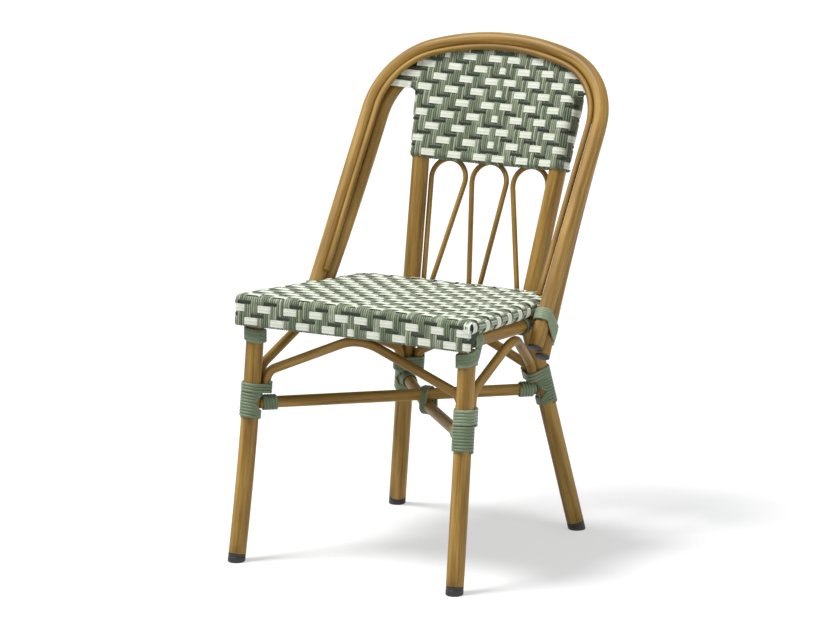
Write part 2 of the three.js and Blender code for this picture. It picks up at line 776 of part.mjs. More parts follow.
function lowerStretcherTube() {
  const points = bentPath([lowerEnds.front, lowerMiddle, lowerEnds.rear], [lowerStretcher.bend]);
  return fittedStretcher(points, 1);
}

// Bindings: one strand wound round a bundle of circles, each loop a polygon of tangent lines

// The directions of the flat sides that bridge two circles of the bundle
function bridgeAngles(circles) {
  const reachOf = (circle, angle) => circle.x * Math.cos(angle) + circle.y * Math.sin(angle) + circle.radius;
  const angles = [];
  circles.forEach((one, index) => {
    circles.slice(index + 1).forEach((other) => {
      const distance = Math.hypot(other.x - one.x, other.y - one.y);
      const heading = Math.atan2(other.y - one.y, other.x - one.x);
      const swing = Math.acos((one.radius - other.radius) / distance);
      for (const angle of [heading + swing, heading - swing]) {
        const outermost = Math.max(...circles.map((circle) => reachOf(circle, angle)));
        if (reachOf(one, angle) > outermost - touch / overrun) {
          angles.push((angle + 4 * Math.PI) % (2 * Math.PI));
        }
      }
    });
  });
  return angles.sort((low, high) => low - high);
}

// All side directions of one loop: the bridges, and even steps between them
function sideAngles(circles, stepsPerTurn) {
  const bridges = bridgeAngles(circles);
  const fixed = bridges.length > 0 ? bridges : [0];
  const angles = [];
  fixed.forEach((start, index) => {
    const next = index + 1 < fixed.length ? fixed[index + 1] : fixed[0] + 2 * Math.PI;
    const steps = Math.max(1, Math.round(((next - start) * stepsPerTurn) / (2 * Math.PI)));
    for (let step = 0; step < steps; step += 1) {
      angles.push(start + ((next - start) * step) / steps);
    }
  });
  return angles;
}

// The corner where two tangent lines of the bundle cross
function tangentCorner(circles, reach, first, second) {
  const lineAt = (angle) => {
    const distances = circles.map((c) => c.x * Math.cos(angle) + c.y * Math.sin(angle) + c.radius);
    return Math.max(...distances) + reach;
  };
  const a = lineAt(first);
  const b = lineAt(second);
  const turn = Math.sin(second - first);
  const x = (a * Math.sin(second) - b * Math.sin(first)) / turn;
  const y = (b * Math.cos(first) - a * Math.cos(second)) / turn;
  return { x, y, angle: (first + second) / 2 };
}

// The centre line of a binding, with one straight diameter at each end
function windingPath(frame, circles, turns, looseness = strand.looseness) {
  const angles = sideAngles(circles, strand.stepsPerTurn);
  const reach = looseness + strand.radius;
  const corners = angles.map((angle, index) => {
    const next = index + 1 < angles.length ? angles[index + 1] : angles[0] + 2 * Math.PI;
    return tangentCorner(circles, reach, angle, next);
  });
  const points = [];
  const count = Math.round(turns * corners.length);
  for (let index = 0; index <= count; index += 1) {
    const corner = corners[index % corners.length];
    const turn = Math.floor(index / corners.length) + corner.angle / (2 * Math.PI);
    const point = frame.centre.clone().addScaledVector(frame.axis, turn * strand.pitch);
    point.addScaledVector(frame.across, corner.x);
    points.push(point.addScaledVector(frame.behind, corner.y));
  }
  const first = towards(points[0], points[1], -2 * strand.radius);
  const last = towards(points[count], points[count - 1], -2 * strand.radius);
  return [first, ...points, last];
}

// The least clear distance between two stretches of a strand that are a good way apart along it
function leastGap(points) {
  const spots = [];
  let travelled = 0;
  points.slice(1).forEach((point, index) => {
    const length = point.distanceTo(points[index]);
    const parts = Math.ceil(length / strand.radius);
    for (let part = 0; part < parts; part += 1) {
      const place = points[index].clone().lerp(point, part / parts);
      spots.push({ place, travelled: travelled + (length * part) / parts });
    }
    travelled += length;
  });
  let least = Infinity;
  spots.forEach((one, index) => {
    spots.slice(index + 1).forEach((other) => {
      if (other.travelled - one.travelled > 4 * 2 * strand.radius) {
        least = Math.min(least, one.place.distanceTo(other.place) - 2 * strand.radius);
      }
    });
  });
  return least;
}

function binding(name, points) {
  console.log(`${name}: least gap between its turns ${leastGap(points).toFixed(2)} mm`);
  const middle = points.reduce((sum, point) => sum.add(point), vector(0, 0, 0)).divideScalar(points.length);
  const route = new Route(points);
  const rings = points.map((point, index) => {
    const along = route.getTangent(index / route.steps);
    const out = point.clone().sub(middle);
    out.addScaledVector(along, -out.dot(along)).normalize();
    const across = along.clone().cross(out);
    const ring = [];
    for (let corner = 0; corner < strand.flats; corner += 1) {
      const angle = (2 * Math.PI * corner) / strand.flats;
      const spot = point.clone().addScaledVector(out, strand.radius * Math.cos(angle));
      ring.push(spot.addScaledVector(across, strand.radius * Math.sin(angle)));
    }
    return ring;
  });
  return piece(name, ringSolid(rings), "strand");
}

const lifted = (frame, along) => ({ ...frame, centre: frame.centre.clone().addScaledVector(frame.axis, along) });

// A circle of the bundle, beside the leg that the frame stands on
function footCircle(angle) {
  const reach = legTube.radius + archTube.radius + archFit;
  return { x: reach * Math.cos(angle), y: reach * Math.sin(angle), radius: archTube.radius };
}

const legCircle = { x: 0, y: 0, radius: legTube.radius };

function legBinding(place, side) {
  const isFront = place === "front";
  const frame = isFront ? frontFrame : rearFrame;
  const joint = isFront ? frontJoint : rearJoint;
  const clear = isFront ? legBindClearFrontZ : legBindClearRearZ;
  const feet = isFront
    ? [footCircle(behindLeg), footCircle(frontArch.footAngle)]
    : [footCircle(beforeLeg), footCircle(inwards)];
  const start = alongTo(frame, stretcherZ[place][side] + clear);
  const turns = (alongTo(frame, joint.bindTop) - start) / strand.pitch;
  const path = windingPath(lifted(frame, start), [legCircle, ...feet], turns);
  return binding(`${place}_leg_binding_${sideName(side)}`, mirrored(path, side));
}

function legTopBindingPiece(side) {
  const frame = legFrame(frontLegPoint, frontLegTop() - legTopBinding.belowLegTop);
  const path = windingPath(frame, [legCircle], legTopBinding.turns);
  return binding(`leg_top_binding_${sideName(side)}`, mirrored(path, side));
}

// A frame on a straight tube between two points, at a distance from the first
function tubeFrame(from, to, distance) {
  const axis = to.clone().sub(from).normalize();
  const upright = vector(0, 0, 1);
  const behind = upright.addScaledVector(axis, -axis.z).normalize();
  const across = behind.clone().cross(axis);
  return { centre: from.clone().addScaledVector(axis, distance), axis, across, behind };
}

function railBindingPiece(side) {
  const start = underSeat(sideRailX(railBinding.startY), railBinding.startY, sideRail.depth);
  const end = underSeat(sideRailX(sideRail.rearY), sideRail.rearY, sideRail.depth);
  const frame = tubeFrame(start, end, 0);
  const path = windingPath(frame, [{ x: 0, y: 0, radius: railTube.radius }], railBinding.turns);
  return binding(`rail_binding_${sideName(side)}`, mirrored(path, side));
}

function hoopBindingPiece(side) {
  const centre = onHoopPlane(hoopHalfWidth, hoopBinding.start, 0);
  const axis = onHoopPlane(0, 1, 0).sub(onHoopPlane(0, 0, 0));
  const across = vector(1, 0, 0);
  const behind = axis.clone().cross(across);
  const middle = hoopBinding.start + (hoopBinding.turns * strand.pitch) / 2;
  const offset = rearHoopLegPoint(middle).sub(onHoopPlane(hoopHalfWidth, middle, 0));
  const front = { x: 0, y: 0, radius: hoopTube.radius };
  const rear = { x: offset.x, y: offset.dot(behind), radius: hoopTube.radius };
  const frame = { centre, axis, across, behind };
  const path = windingPath(frame, [front, rear], hoopBinding.turns, hoopBinding.looseness);
  return binding(`hoop_binding_${sideName(side)}`, mirrored(path, side));
}

// The binding starts where its outside clears the leg that the stretcher ends on
function stretcherBindingPiece(name, end, other, legAxis) {
  const lean = other.clone().sub(end).angleTo(legAxis);
  const outside = stretcherTube.radius + strand.looseness + 2 * strand.radius;
  const clear = legTube.radius / Math.sin(lean) + outside / Math.abs(Math.tan(lean));
  const frame = tubeFrame(end, other, clear + strand.radius + stretcherBinding.room);
  const path = windingPath(frame, [{ x: 0, y: 0, radius: stretcherTube.radius }], stretcherBinding.turns);
  return binding(name, path);
}

// The lashing where the stretchers cross: upright loops round both tubes
function crossingBindingPiece() {
  const half = (crossingBinding.turns * strand.pitch) / 2;
  const centre = lowerMiddle.clone().sub(vector(half, 0, 0));
  const frame = { centre, axis: vector(1, 0, 0), across: vector(0, 1, 0), behind: vector(0, 0, 1) };
  const between = crossingPoint().z - lowerMiddle.z;
  const run = upperEnds.rear.clone().sub(upperEnds.front).normalize();
  const widest = (stretcherTube.radius + half * Math.abs(run.y)) / Math.abs(run.x);
  const spread = widest - stretcherTube.radius + crossingBinding.room;
  const circles = [];
  for (const y of [-spread, spread]) {
    circles.push({ x: y, y: 0, radius: stretcherTube.radius }, { x: y, y: between, radius: stretcherTube.radius });
  }
  return binding("crossing_binding", windingPath(frame, circles, crossingBinding.turns, crossingBinding.looseness));
}

// Assembly

const sideName = (side) => (side > 0 ? "right" : "left");

const chair = new THREE.Group();
const add = (name, geometry, finish) => chair.add(piece(name, geometry, finish));

for (const side of [1, -1]) {
  add(`front_leg_${sideName(side)}`, frontLegTube(side), "tube");
  add(`rear_leg_post_${sideName(side)}`, rearLegTube(side), "tube");
  add(`front_glide_${sideName(side)}`, footGlide(frontLegPoint, side), "cap");
  add(`rear_glide_${sideName(side)}`, footGlide(rearLegPoint, side), "cap");
  add(`side_arch_${sideName(side)}`, sideArchTube(side), "tube");
  add(`front_hoop_cap_${sideName(side)}`, hoopCapSolid(frontHoopPath(), side), "cap");
  add(`rear_hoop_cap_${sideName(side)}`, hoopCapSolid(rearHoopPath(), side), "cap");
}

add("front_rail", crossTube(seatHalfWidth - frontFrameInset, frontRailY, frontRailDepth, railTube), "tube");
add("seat_rail", seatRailTube(), "tube");
add("seat_front_frame", crossTube(seatHalfWidth - frontFrameInset, frontFrameY, seatFrameDepth, seatTube), "tube");
add("seat_side_frame", seatFrameTube(), "tube");
add("seat_weave", seatWeaveTray(), "weave");
for (const side of [1, -1]) {
  add(`seat_spacer_front_${sideName(side)}`, frontSpacer(side), "tube");
  sideSpacersY.forEach((y, index) => {
    add(`seat_spacer_side_${index + 1}_${sideName(side)}`, sideSpacer(y, side), "tube");
  });
}

add("front_hoop", tube(frontHoopPath(), hoopTube), "tube");
add("rear_hoop", tube(rearHoopPath(), hoopTube), "tube");
add("hoop_rod", tube(rodPath(), rodTube), "tube");
add("back_bar", barBetweenPosts(backBarZ), "tube");
add("lower_bar", barBetweenPosts(lowerBarZ), "tube");
add("back_weave", backWeavePanel(), "weave");

const middleFoot = loopFeet.middleSpread / 2;
const sideFoot = postPoint(lowerBarZ).x - loopFeet.fromPost;
const outerFoot = sideFoot - loopFeet.sideSpread;
add("back_loop_middle", backLoop(0, middleFoot, -middleFoot), "tube");
add("back_loop_right", backLoop(loopSpacing, sideFoot, outerFoot), "tube");
add("back_loop_left", backLoop(-loopSpacing, -outerFoot, -sideFoot), "tube");

add("front_arch", frontArchTube(), "tube");
add("rear_arch", rearArchTube(), "tube");
add("upper_stretcher", upperStretcherTube(), "tube");
add("lower_stretcher", lowerStretcherTube(), "tube");

for (const side of [1, -1]) {
  chair.add(legBinding("front", side), legBinding("rear", side));
  chair.add(legTopBindingPiece(side), railBindingPiece(side), hoopBindingPiece(side));
}
const axisAt = (frame, side) => mirrored([frame.axis], side)[0];
const stretcherJoints = {
  front_left: [upperEnds.front, upperEnds.rear, axisAt(frontFrame, -1)],
  rear_right: [upperEnds.rear, upperEnds.front, axisAt(rearFrame, 1)],
  front_right: [lowerEnds.front, lowerMiddle, axisAt(frontFrame, 1)],
  rear_left: [lowerEnds.rear, lowerMiddle, axisAt(rearFrame, -1)],
};
for (const [place, [end, other, legAxis]] of Object.entries(stretcherJoints)) {
  chair.add(stretcherBindingPiece(`stretcher_binding_${place}`, end, other, legAxis));
}
chair.add(crossingBindingPiece());

// The origin is on the floor, in the middle of the chair's depth
const extent = new THREE.Box3().setFromObject(chair);
chair.position.y = -(extent.min.y + extent.max.y) / 2;

export default chair;
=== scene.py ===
# Rattan bistro chair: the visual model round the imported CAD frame.
# Lengths are in millimetres in the part's own frame; place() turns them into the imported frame's metres.

import random
from math import acos, asin, atan, atan2, ceil, copysign, cos, hypot, pi, radians, sin, sqrt, tan

import bpy
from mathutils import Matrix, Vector, noise


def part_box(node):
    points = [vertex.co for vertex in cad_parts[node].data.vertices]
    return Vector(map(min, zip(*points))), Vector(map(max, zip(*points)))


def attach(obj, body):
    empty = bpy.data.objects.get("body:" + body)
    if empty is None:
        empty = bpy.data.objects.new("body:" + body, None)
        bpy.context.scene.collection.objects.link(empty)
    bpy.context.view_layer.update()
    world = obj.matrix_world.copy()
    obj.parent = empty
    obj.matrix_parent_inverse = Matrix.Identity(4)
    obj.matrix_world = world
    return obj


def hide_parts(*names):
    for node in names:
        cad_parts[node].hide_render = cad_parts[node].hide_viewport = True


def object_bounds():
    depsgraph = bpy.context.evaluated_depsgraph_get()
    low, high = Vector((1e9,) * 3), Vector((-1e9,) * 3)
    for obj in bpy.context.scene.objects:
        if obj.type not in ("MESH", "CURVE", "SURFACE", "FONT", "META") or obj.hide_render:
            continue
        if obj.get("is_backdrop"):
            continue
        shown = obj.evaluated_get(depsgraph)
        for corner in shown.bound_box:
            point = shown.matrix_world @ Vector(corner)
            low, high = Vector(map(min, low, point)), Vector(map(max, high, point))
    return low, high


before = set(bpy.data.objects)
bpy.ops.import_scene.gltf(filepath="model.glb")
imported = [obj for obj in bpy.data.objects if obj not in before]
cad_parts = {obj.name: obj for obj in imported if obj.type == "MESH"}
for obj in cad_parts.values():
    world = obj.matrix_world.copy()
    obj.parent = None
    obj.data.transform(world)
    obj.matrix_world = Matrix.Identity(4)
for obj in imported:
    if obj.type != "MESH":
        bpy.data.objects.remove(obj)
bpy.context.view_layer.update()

MM = 0.001
FRONT_RAIL_Y = 45
rail_low, rail_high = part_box("front_rail")
SHIFT = (rail_low.y + rail_high.y) / 2 - FRONT_RAIL_Y * MM


def place(point):
    return Vector((point.x * MM, point.y * MM + SHIFT, point.z * MM))


# Sizes, as in the part
HALF_WIDTH = 236
LEG, HOOP, RAIL, STRETCHER, ARCH, BAR, ROD, LOOP = 15, 13, 12, 10, 8, 6, 5, 4.5
SEAT_HEIGHT, SEAT_FALL, SEAT_SIDE_Y, SEAT_TAPER = 455.4, 0.06, 42, 0.105
FRONT_RAIL_DEPTH, SIDE_RAIL_DEPTH = 38, 39
RAIL_FRONT_Y, RAIL_REAR_Y = 58.1, 393.2
SEAT_FRONT_Y, SEAT_REAR_Y, SEAT_REAR_CROWN = 30, 398, 6
FRONT_CORNER, REAR_CORNER, FRONT_ROUND = 6, 40, 9
APRON_HEIGHT = 51
GLIDE_HEIGHT, LEG_FLOOR = 13, 13.3
FRONT_LEG_TOP = 403.1
POST_TOP_Z, BACK_BAR_Z, LOWER_BAR_Z = 786.5, 640, 417
ROD_INSET, ROD_BEHIND = 17.3, -6.5
HOOP_BASE_Y, HOOP_BASE_Z, HOOP_LEAN = 300.4, 455.8, radians(32.9)
HOOP_HALF_WIDTH, CORNER_RADIUS, CROWN_RADIUS, HOOP_RISE, HOOP_END = 227, 135, 428, 455, -98
REAR_HOOP_END, REAR_HOOP_INSET = -103, 12.5
TURN = 2 * pi
SMOOTH_STEP = radians(4)
SIDES = ((1, "right"), (-1, "left"))


def vec(x, y, z):
    return Vector((x, y, z))


def flipped(point, side):
    return vec(point.x * side, point.y, point.z)


def mirrored(points, side):
    return [flipped(point, side) for point in points]


def mix(a, b, share):
    return a + (b - a) * share


def spread(a, b, steps):
    return [mix(a, b, k / steps) for k in range(steps + 1)]


# Meshes

def new_object(name, data):
    piece = bpy.data.objects.new(name, data)
    bpy.context.scene.collection.objects.link(piece)
    return piece


class Pile:
    """Collects the mesh of one piece, with a place along the grain and a tone at each point."""

    def __init__(self):
        self.points, self.faces, self.grain, self.tone = [], [], [], []

    def add(self, point, grain=None, tone=0.0):
        self.points.append(place(point))
        self.grain.append(grain or tuple(point))
        self.tone.append(tone)

    def ring_faces(self, start, rings, count):
        for ring in range(rings - 1):
            for corner in range(count):
                a = start + ring * count + corner
                b = start + ring * count + (corner + 1) % count
                self.faces.append((a, b, b + count, a + count))
        self.faces.append(tuple(start + corner for corner in reversed(range(count))))
        last = start + (rings - 1) * count
        self.faces.append(tuple(last + corner for corner in range(count)))

    def sweep(self, path, section, normals=None, seed=0.0, tone=0.0, scales=None):
        """Sweeps a closed section (across, out) along a path. Without normals the section doesn't twist."""
        start = len(self.points)
        travelled = seed
        normal = None
        for index, point in enumerate(path):
            ahead = path[min(index + 1, len(path) - 1)]
            behind = path[max(index - 1, 0)]
            tangent = ((point - behind).normalized() + (ahead - point).normalized()).normalized()
            if normals:
                normal = normals[index]
            elif normal is None:
                normal = vec(0, 0, 1) if abs(tangent.z) < 0.9 else vec(0, -1, 0)
            normal = (normal - tangent * normal.dot(tangent)).normalized()
            across = normal.cross(tangent)
            if index:
                travelled += (point - behind).length
            scale = scales[index] if scales else 1
            for a, b in section:
                self.add(point + across * a * scale + normal * b * scale, (travelled, a, b), tone)
        self.ring_faces(start, len(path), len(section))

    def lathe(self, base, axis, profile, sides=32):
        """Turns a profile of (radius, height) round an axis that starts at a base."""
        across = axis.orthogonal().normalized()
        behind = axis.cross(across)
        for radius, height in profile:
            for corner in range(sides):
                angle = TURN * corner / sides
                a, b = cos(angle), sin(angle)
                out = across * a + behind * b
                self.add(base + axis * height + out * radius, (height, radius * a, radius * b))
        self.ring_faces(0, len(profile), sides)

    def finish(self, name, material, slot, node, sharp=None):
        mesh = bpy.data.meshes.new(name)
        mesh.from_pydata([tuple(p) for p in self.points], [], self.faces)
        grain = mesh.attributes.new("grain", "FLOAT_VECTOR", "POINT")
        grain.data.foreach_set("vector", [value for item in self.grain for value in item])
        tone = mesh.attributes.new("tone", "FLOAT", "POINT")
        tone.data.foreach_set("value", self.tone)
        mesh.shade_smooth()
        if sharp:
            mesh.set_sharp_from_angle(angle=radians(sharp))
        mesh.materials.append(material)
        piece = new_object(name, mesh)
        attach(piece, "root")
        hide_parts(node)


def round_section(radius, sides, flat=1.0):
    angles = [TURN * k / sides for k in range(sides)]
    return [(radius * cos(angle), radius * flat * sin(angle)) for angle in angles]


def strip_section(width, thickness, crown):
    """A flat strip with worn corners; its top is a little crowned."""
    w, t, worn = width / 2, thickness / 2, thickness * 0.3
    return [
        (w, -t + worn), (w, t - worn), (w - worn, t), (w * 0.4, t + crown), (-w * 0.4, t + crown),
        (-w + worn, t), (-w, t - worn), (-w, -t + worn), (-w + worn, -t), (w - worn, -t),
    ]


def bend_points(before, corner, after, radius):
    arriving = (corner - before).normalized()
    leaving = (after - corner).normalized()
    turn = arriving.angle(leaving)
    start = corner - arriving * radius * tan(turn / 2)
    side = (leaving - arriving * leaving.dot(arriving)).normalized()
    steps = max(2, ceil(turn / SMOOTH_STEP))
    angles = [turn * k / steps for k in range(steps + 1)]
    return [start + arriving * radius * sin(angle) + side * radius * (1 - cos(angle)) for angle in angles]


def bent_path(corners, radii):
    points = [corners[0]]
    for index, radius in enumerate(radii):
        points += bend_points(*corners[index : index + 3], radius)
    return points + [corners[-1]]


def refined(path, longest=30.0):
    """Adds points on the long straight runs, so that the grain has no long triangles."""
    points = [path[0]]
    for point in path[1:]:
        steps = max(1, ceil((point - points[-1]).length / longest))
        start = points[-1]
        points += [start.lerp(point, k / steps) for k in range(1, steps + 1)]
    return points


# Places on the legs, right side

def front_leg_point(z):
    share = z / 424
    foot, pull, head = vec(213, 0, 0), vec(206.4, 37, 212), vec(205.3, 57.5, 424)
    return foot * (1 - share) ** 2 + pull * 2 * share * (1 - share) + head * share**2


REAR_BEND = vec(116.2, 417.5, 385.6)


def rear_leg_point(z):
    return vec(182, 483.8, 0).lerp(REAR_BEND, z / REAR_BEND.z)


def post_point(z):
    rise = z - REAR_BEND.z
    return REAR_BEND + vec(rise * 0.0823, rise * 0.2973, rise)


def leg_frame(leg_point, z):
    centre = leg_point(z)
    axis = (leg_point(z + 0.3) - leg_point(z - 0.3)).normalized()
    across = (vec(1, 0, 0) - axis * axis.x).normalized()
    return centre, axis, across, axis.cross(across)


def beside_leg(base, angle, along):
    centre, axis, across, behind = base
    reach = LEG + ARCH + 0.5
    return centre + axis * along + across * reach * cos(angle) + behind * reach * sin(angle)


def along_to(base, z):
    return (z - base[0].z) / base[1].z


LEG_BASE = {"front": leg_frame(front_leg_point, 290), "rear": leg_frame(rear_leg_point, 283)}
STRETCHER_Z = {("front", 1): 258, ("front", -1): 268, ("rear", 1): 255, ("rear", -1): 246}
FOOT_LIFT = {"front": 18.5, "rear": 20.5}
ARCH_ANGLES = {"front": (pi / 2, radians(135)), "rear": (-pi / 2, pi)}


def arch_foot(end, angle, side, lift=None):
    """Where an arch stands beside a leg: at a lift, or at its foot above the stretcher."""
    if lift is None:
        lift = along_to(LEG_BASE[end], STRETCHER_Z[end, side] + FOOT_LIFT[end])
    return beside_leg(LEG_BASE[end], angle, lift)


def seat_top_z(y):
    return SEAT_HEIGHT - SEAT_FALL * (y - SEAT_SIDE_Y)


def seat_side_x(y):
    return HALF_WIDTH - SEAT_TAPER * (y - SEAT_SIDE_Y)


def side_rail_x(y):
    return HALF_WIDTH - 30 - 0.063 * (y - 72)


def under_seat(x, y, depth):
    return vec(x, y, seat_top_z(y) - depth)


# Hoops

CORNER_X = HOOP_HALF_WIDTH - CORNER_RADIUS
CROWN_BASE = HOOP_RISE - CROWN_RADIUS
CROWN_ANGLE = asin(CORNER_X / (CROWN_RADIUS - CORNER_RADIUS))
CORNER_ALONG = CROWN_BASE + (CROWN_RADIUS - CORNER_RADIUS) * cos(CROWN_ANGLE)


def on_hoop_plane(x, along, behind):
    y = HOOP_BASE_Y + along * sin(HOOP_LEAN) + behind * cos(HOOP_LEAN)
    return vec(x, y, HOOP_BASE_Z + along * cos(HOOP_LEAN) - behind * sin(HOOP_LEAN))


def arch_points(inset, behind):
    points = []
    sweep = pi / 2 - CROWN_ANGLE
    steps = ceil(sweep / SMOOTH_STEP)
    for step in range(steps):
        angle, radius = sweep * step / steps, CORNER_RADIUS - inset
        x = CORNER_X + radius * cos(angle)
        points.append(on_hoop_plane(x, CORNER_ALONG + radius * sin(angle), behind))
    steps = ceil(CROWN_ANGLE / SMOOTH_STEP * 2)
    for step in range(steps):
        angle, radius = CROWN_ANGLE * (1 - step / steps), CROWN_RADIUS - inset
        points.append(on_hoop_plane(radius * sin(angle), CROWN_BASE + radius * cos(angle), behind))
    return points + [on_hoop_plane(0, HOOP_RISE - inset, behind)] + mirrored(points, -1)[::-1]


def rear_hoop_leg_point(along):
    drop = (CORNER_ALONG - along) / (CORNER_ALONG - REAR_HOOP_END)
    inset = REAR_HOOP_INSET - 15.5 * drop * drop
    return on_hoop_plane(HOOP_HALF_WIDTH - inset, along, sqrt(26.4**2 - inset**2))


def hoop_path(inset, behind, leg_points):
    return leg_points + arch_points(inset, behind) + mirrored(leg_points, -1)[::-1]


front_hoop_path = hoop_path(0, 0, [on_hoop_plane(HOOP_HALF_WIDTH, HOOP_END, 0)])
rear_hoop_legs = [rear_hoop_leg_point(along) for along in spread(REAR_HOOP_END, CORNER_ALONG, 12)[:-1]]
rear_hoop_path = hoop_path(REAR_HOOP_INSET, 23.3, rear_hoop_legs)
rod_path = hoop_path(ROD_INSET, ROD_BEHIND, [on_hoop_plane(HOOP_HALF_WIDTH - ROD_INSET, -8, ROD_BEHIND)])


def arch_along(x, inset):
    crown, corner, across = CROWN_RADIUS - inset, CORNER_RADIUS - inset, abs(x)
    if across < crown * sin(CROWN_ANGLE):
        return CROWN_BASE + sqrt(crown * crown - across * across)
    return CORNER_ALONG + sqrt(max(0, corner * corner - (across - CORNER_X) ** 2))


# Back: bars and loops in the plane of the posts

POST_DIRECTION = vec(0, 0.2973, 1).normalized()
POST_NORMAL = vec(0, -1, 0.2973).normalized()


def on_post_plane(x, z, before):
    point = post_point(z)
    return vec(x, point.y, point.z) + POST_NORMAL * before


LOOP_REACH = post_point(BACK_BAR_Z).x - 21.6
LOOP_RADIUS = (LOOP_REACH - 13.5) / 3
LOOP_SPACING = LOOP_REACH - LOOP_RADIUS


def loop_path(centre_x, right_foot, left_foot):
    rise = POST_DIRECTION.z
    centre_z = BACK_BAR_Z - 8.1 - LOOP_RADIUS * rise
    drop = (LOWER_BAR_Z - 4 - centre_z) / rise
    feet = [(right_foot - centre_x, drop), (left_foot - centre_x, drop)]
    heads = [atan2(y, x) + s * acos(LOOP_RADIUS / hypot(x, y)) for (x, y), s in zip(feet, (1, -1))]
    ends = heads[0], heads[1] + TURN
    steps = ceil((ends[1] - ends[0]) / (SMOOTH_STEP * 2))
    round_part = [(LOOP_RADIUS * cos(a), LOOP_RADIUS * sin(a)) for a in spread(*ends, steps)]
    flat = [feet[0]] + round_part + [feet[1]]
    return [on_post_plane(centre_x + x, centre_z + y * rise, -(BAR + LOOP + 0.3)) for x, y in flat]


# Braces and stretchers

def cross_arch_path(end, lift, middle, bend):
    """The arch between the two front or the two rear legs."""
    angle = ARCH_ANGLES[end][1]
    half = [[flipped(arch_foot(end, angle, side, up), side) for up in (None, lift)] for side in (1, -1)]
    return bent_path(half[0] + [middle] + half[1][::-1], [bend, 95, bend])


def side_arch_path(side):
    before, behind = ARCH_ANGLES["front"][0], ARCH_ANGLES["rear"][0]
    front = [arch_foot("front", before, side, lift) for lift in (None, 40)]
    rear = [arch_foot("rear", behind, side, lift) for lift in (25, None)]
    return mirrored(bent_path(front + [vec(HALF_WIDTH - 38, 228, 392)] + rear, [28, 95, 28]), side)


upper_front = flipped(front_leg_point(STRETCHER_Z["front", -1]), -1)
upper_rear = rear_leg_point(STRETCHER_Z["rear", 1])
lower_front = front_leg_point(STRETCHER_Z["front", 1])
lower_rear = flipped(rear_leg_point(STRETCHER_Z["rear", -1]), -1)
crossing = upper_front.lerp(upper_rear, upper_front.x / (upper_front.x - upper_rear.x))
lower_middle = crossing - vec(0, 0, 2 * STRETCHER + 0.6)


def trimmed(path, length):
    """The path with its two ends brought in."""
    first = path[0] + (path[1] - path[0]).normalized() * length
    last = path[-1] + (path[-2] - path[-1]).normalized() * length
    return [first] + path[1:-1] + [last]


# Materials

def colour(red, green, blue):
    """A colour as the photograph shows it, from 0 to 255, for a shader."""
    shares = [value / 255 for value in (red, green, blue)]
    return [((share + 0.055) / 1.055) ** 2.4 if share > 0.0404 else share / 12.92 for share in shares] + [1]


def new_node(tree, kind, inputs=None, **settings):
    """Adds a node; an input takes a value or another node's output."""
    node = tree.nodes.new(kind)
    for key, value in settings.items():
        setattr(node, key, value)
    for key, value in (inputs or {}).items():
        if isinstance(value, bpy.types.NodeSocket):
            tree.links.new(value, node.inputs[key])
        else:
            node.inputs[key].default_value = value
    return node


class Nodes:
    """Short ways to build one material's nodes."""

    def __init__(self, name, roughness, specular=0.4):
        self.material = bpy.data.materials.new(name)
        self.material.use_nodes = True
        self.tree = self.material.node_tree
        self.sockets = self.tree.nodes["Principled BSDF"].inputs
        self.sockets["Roughness"].default_value = roughness
        self.sockets["Specular IOR Level"].default_value = specular

    def add(self, kind, inputs=None, **settings):
        return new_node(self.tree, kind, inputs, **settings)

    def read(self, attribute, output):
        return self.add("ShaderNodeAttribute", attribute_name=attribute).outputs[output]

    def scaled(self, vector, along, around):
        inputs = {0: vector, 1: (along, around, around)}
        return self.add("ShaderNodeVectorMath", inputs, operation="MULTIPLY").outputs["Vector"]

    def grain(self, along, around):
        """The piece's own grain coordinate, scaled along and across it."""
        return self.scaled(self.read("grain", "Vector"), along, around)

    def noise(self, vector, detail=3.0):
        inputs = {"Vector": vector, "Scale": 1.0, "Detail": detail, "Roughness": 0.55}
        return self.add("ShaderNodeTexNoise", inputs).outputs["Fac"]

    def maths(self, operation, a, b):
        return self.add("ShaderNodeMath", {0: a, 1: b}, operation=operation).outputs["Value"]

    def ramp(self, value, stops):
        node = self.add("ShaderNodeValToRGB", {"Fac": value})
        band = node.color_ramp
        while len(band.elements) < len(stops):
            band.elements.new(0.5)
        for element, (position, shade) in zip(band.elements, stops):
            element.position = position
            element.color = shade
        return node.outputs["Color"]

    def blend(self, share, a, b, mode="MIX"):
        inputs = {0: share, 6: a, 7: b}
        return self.add("ShaderNodeMix", inputs, data_type="RGBA", blend_type=mode).outputs[2]

    def paint(self, shade):
        self.tree.links.new(shade, self.sockets["Base Color"])

    def rough(self, value, low, high):
        node = self.add("ShaderNodeMapRange", {"Value": value, "To Min": low, "To Max": high})
        self.tree.links.new(node.outputs["Result"], self.sockets["Roughness"])

    def bump(self, height, strength, distance):
        node = self.add("ShaderNodeBump", {"Height": height, "Strength": strength, "Distance": distance})
        self.tree.links.new(node.outputs["Normal"], self.sockets["Normal"])


GOLD_DARK, GOLD, GOLD_LIGHT = colour(112, 81, 24), colour(151, 116, 47), colour(184, 147, 74)


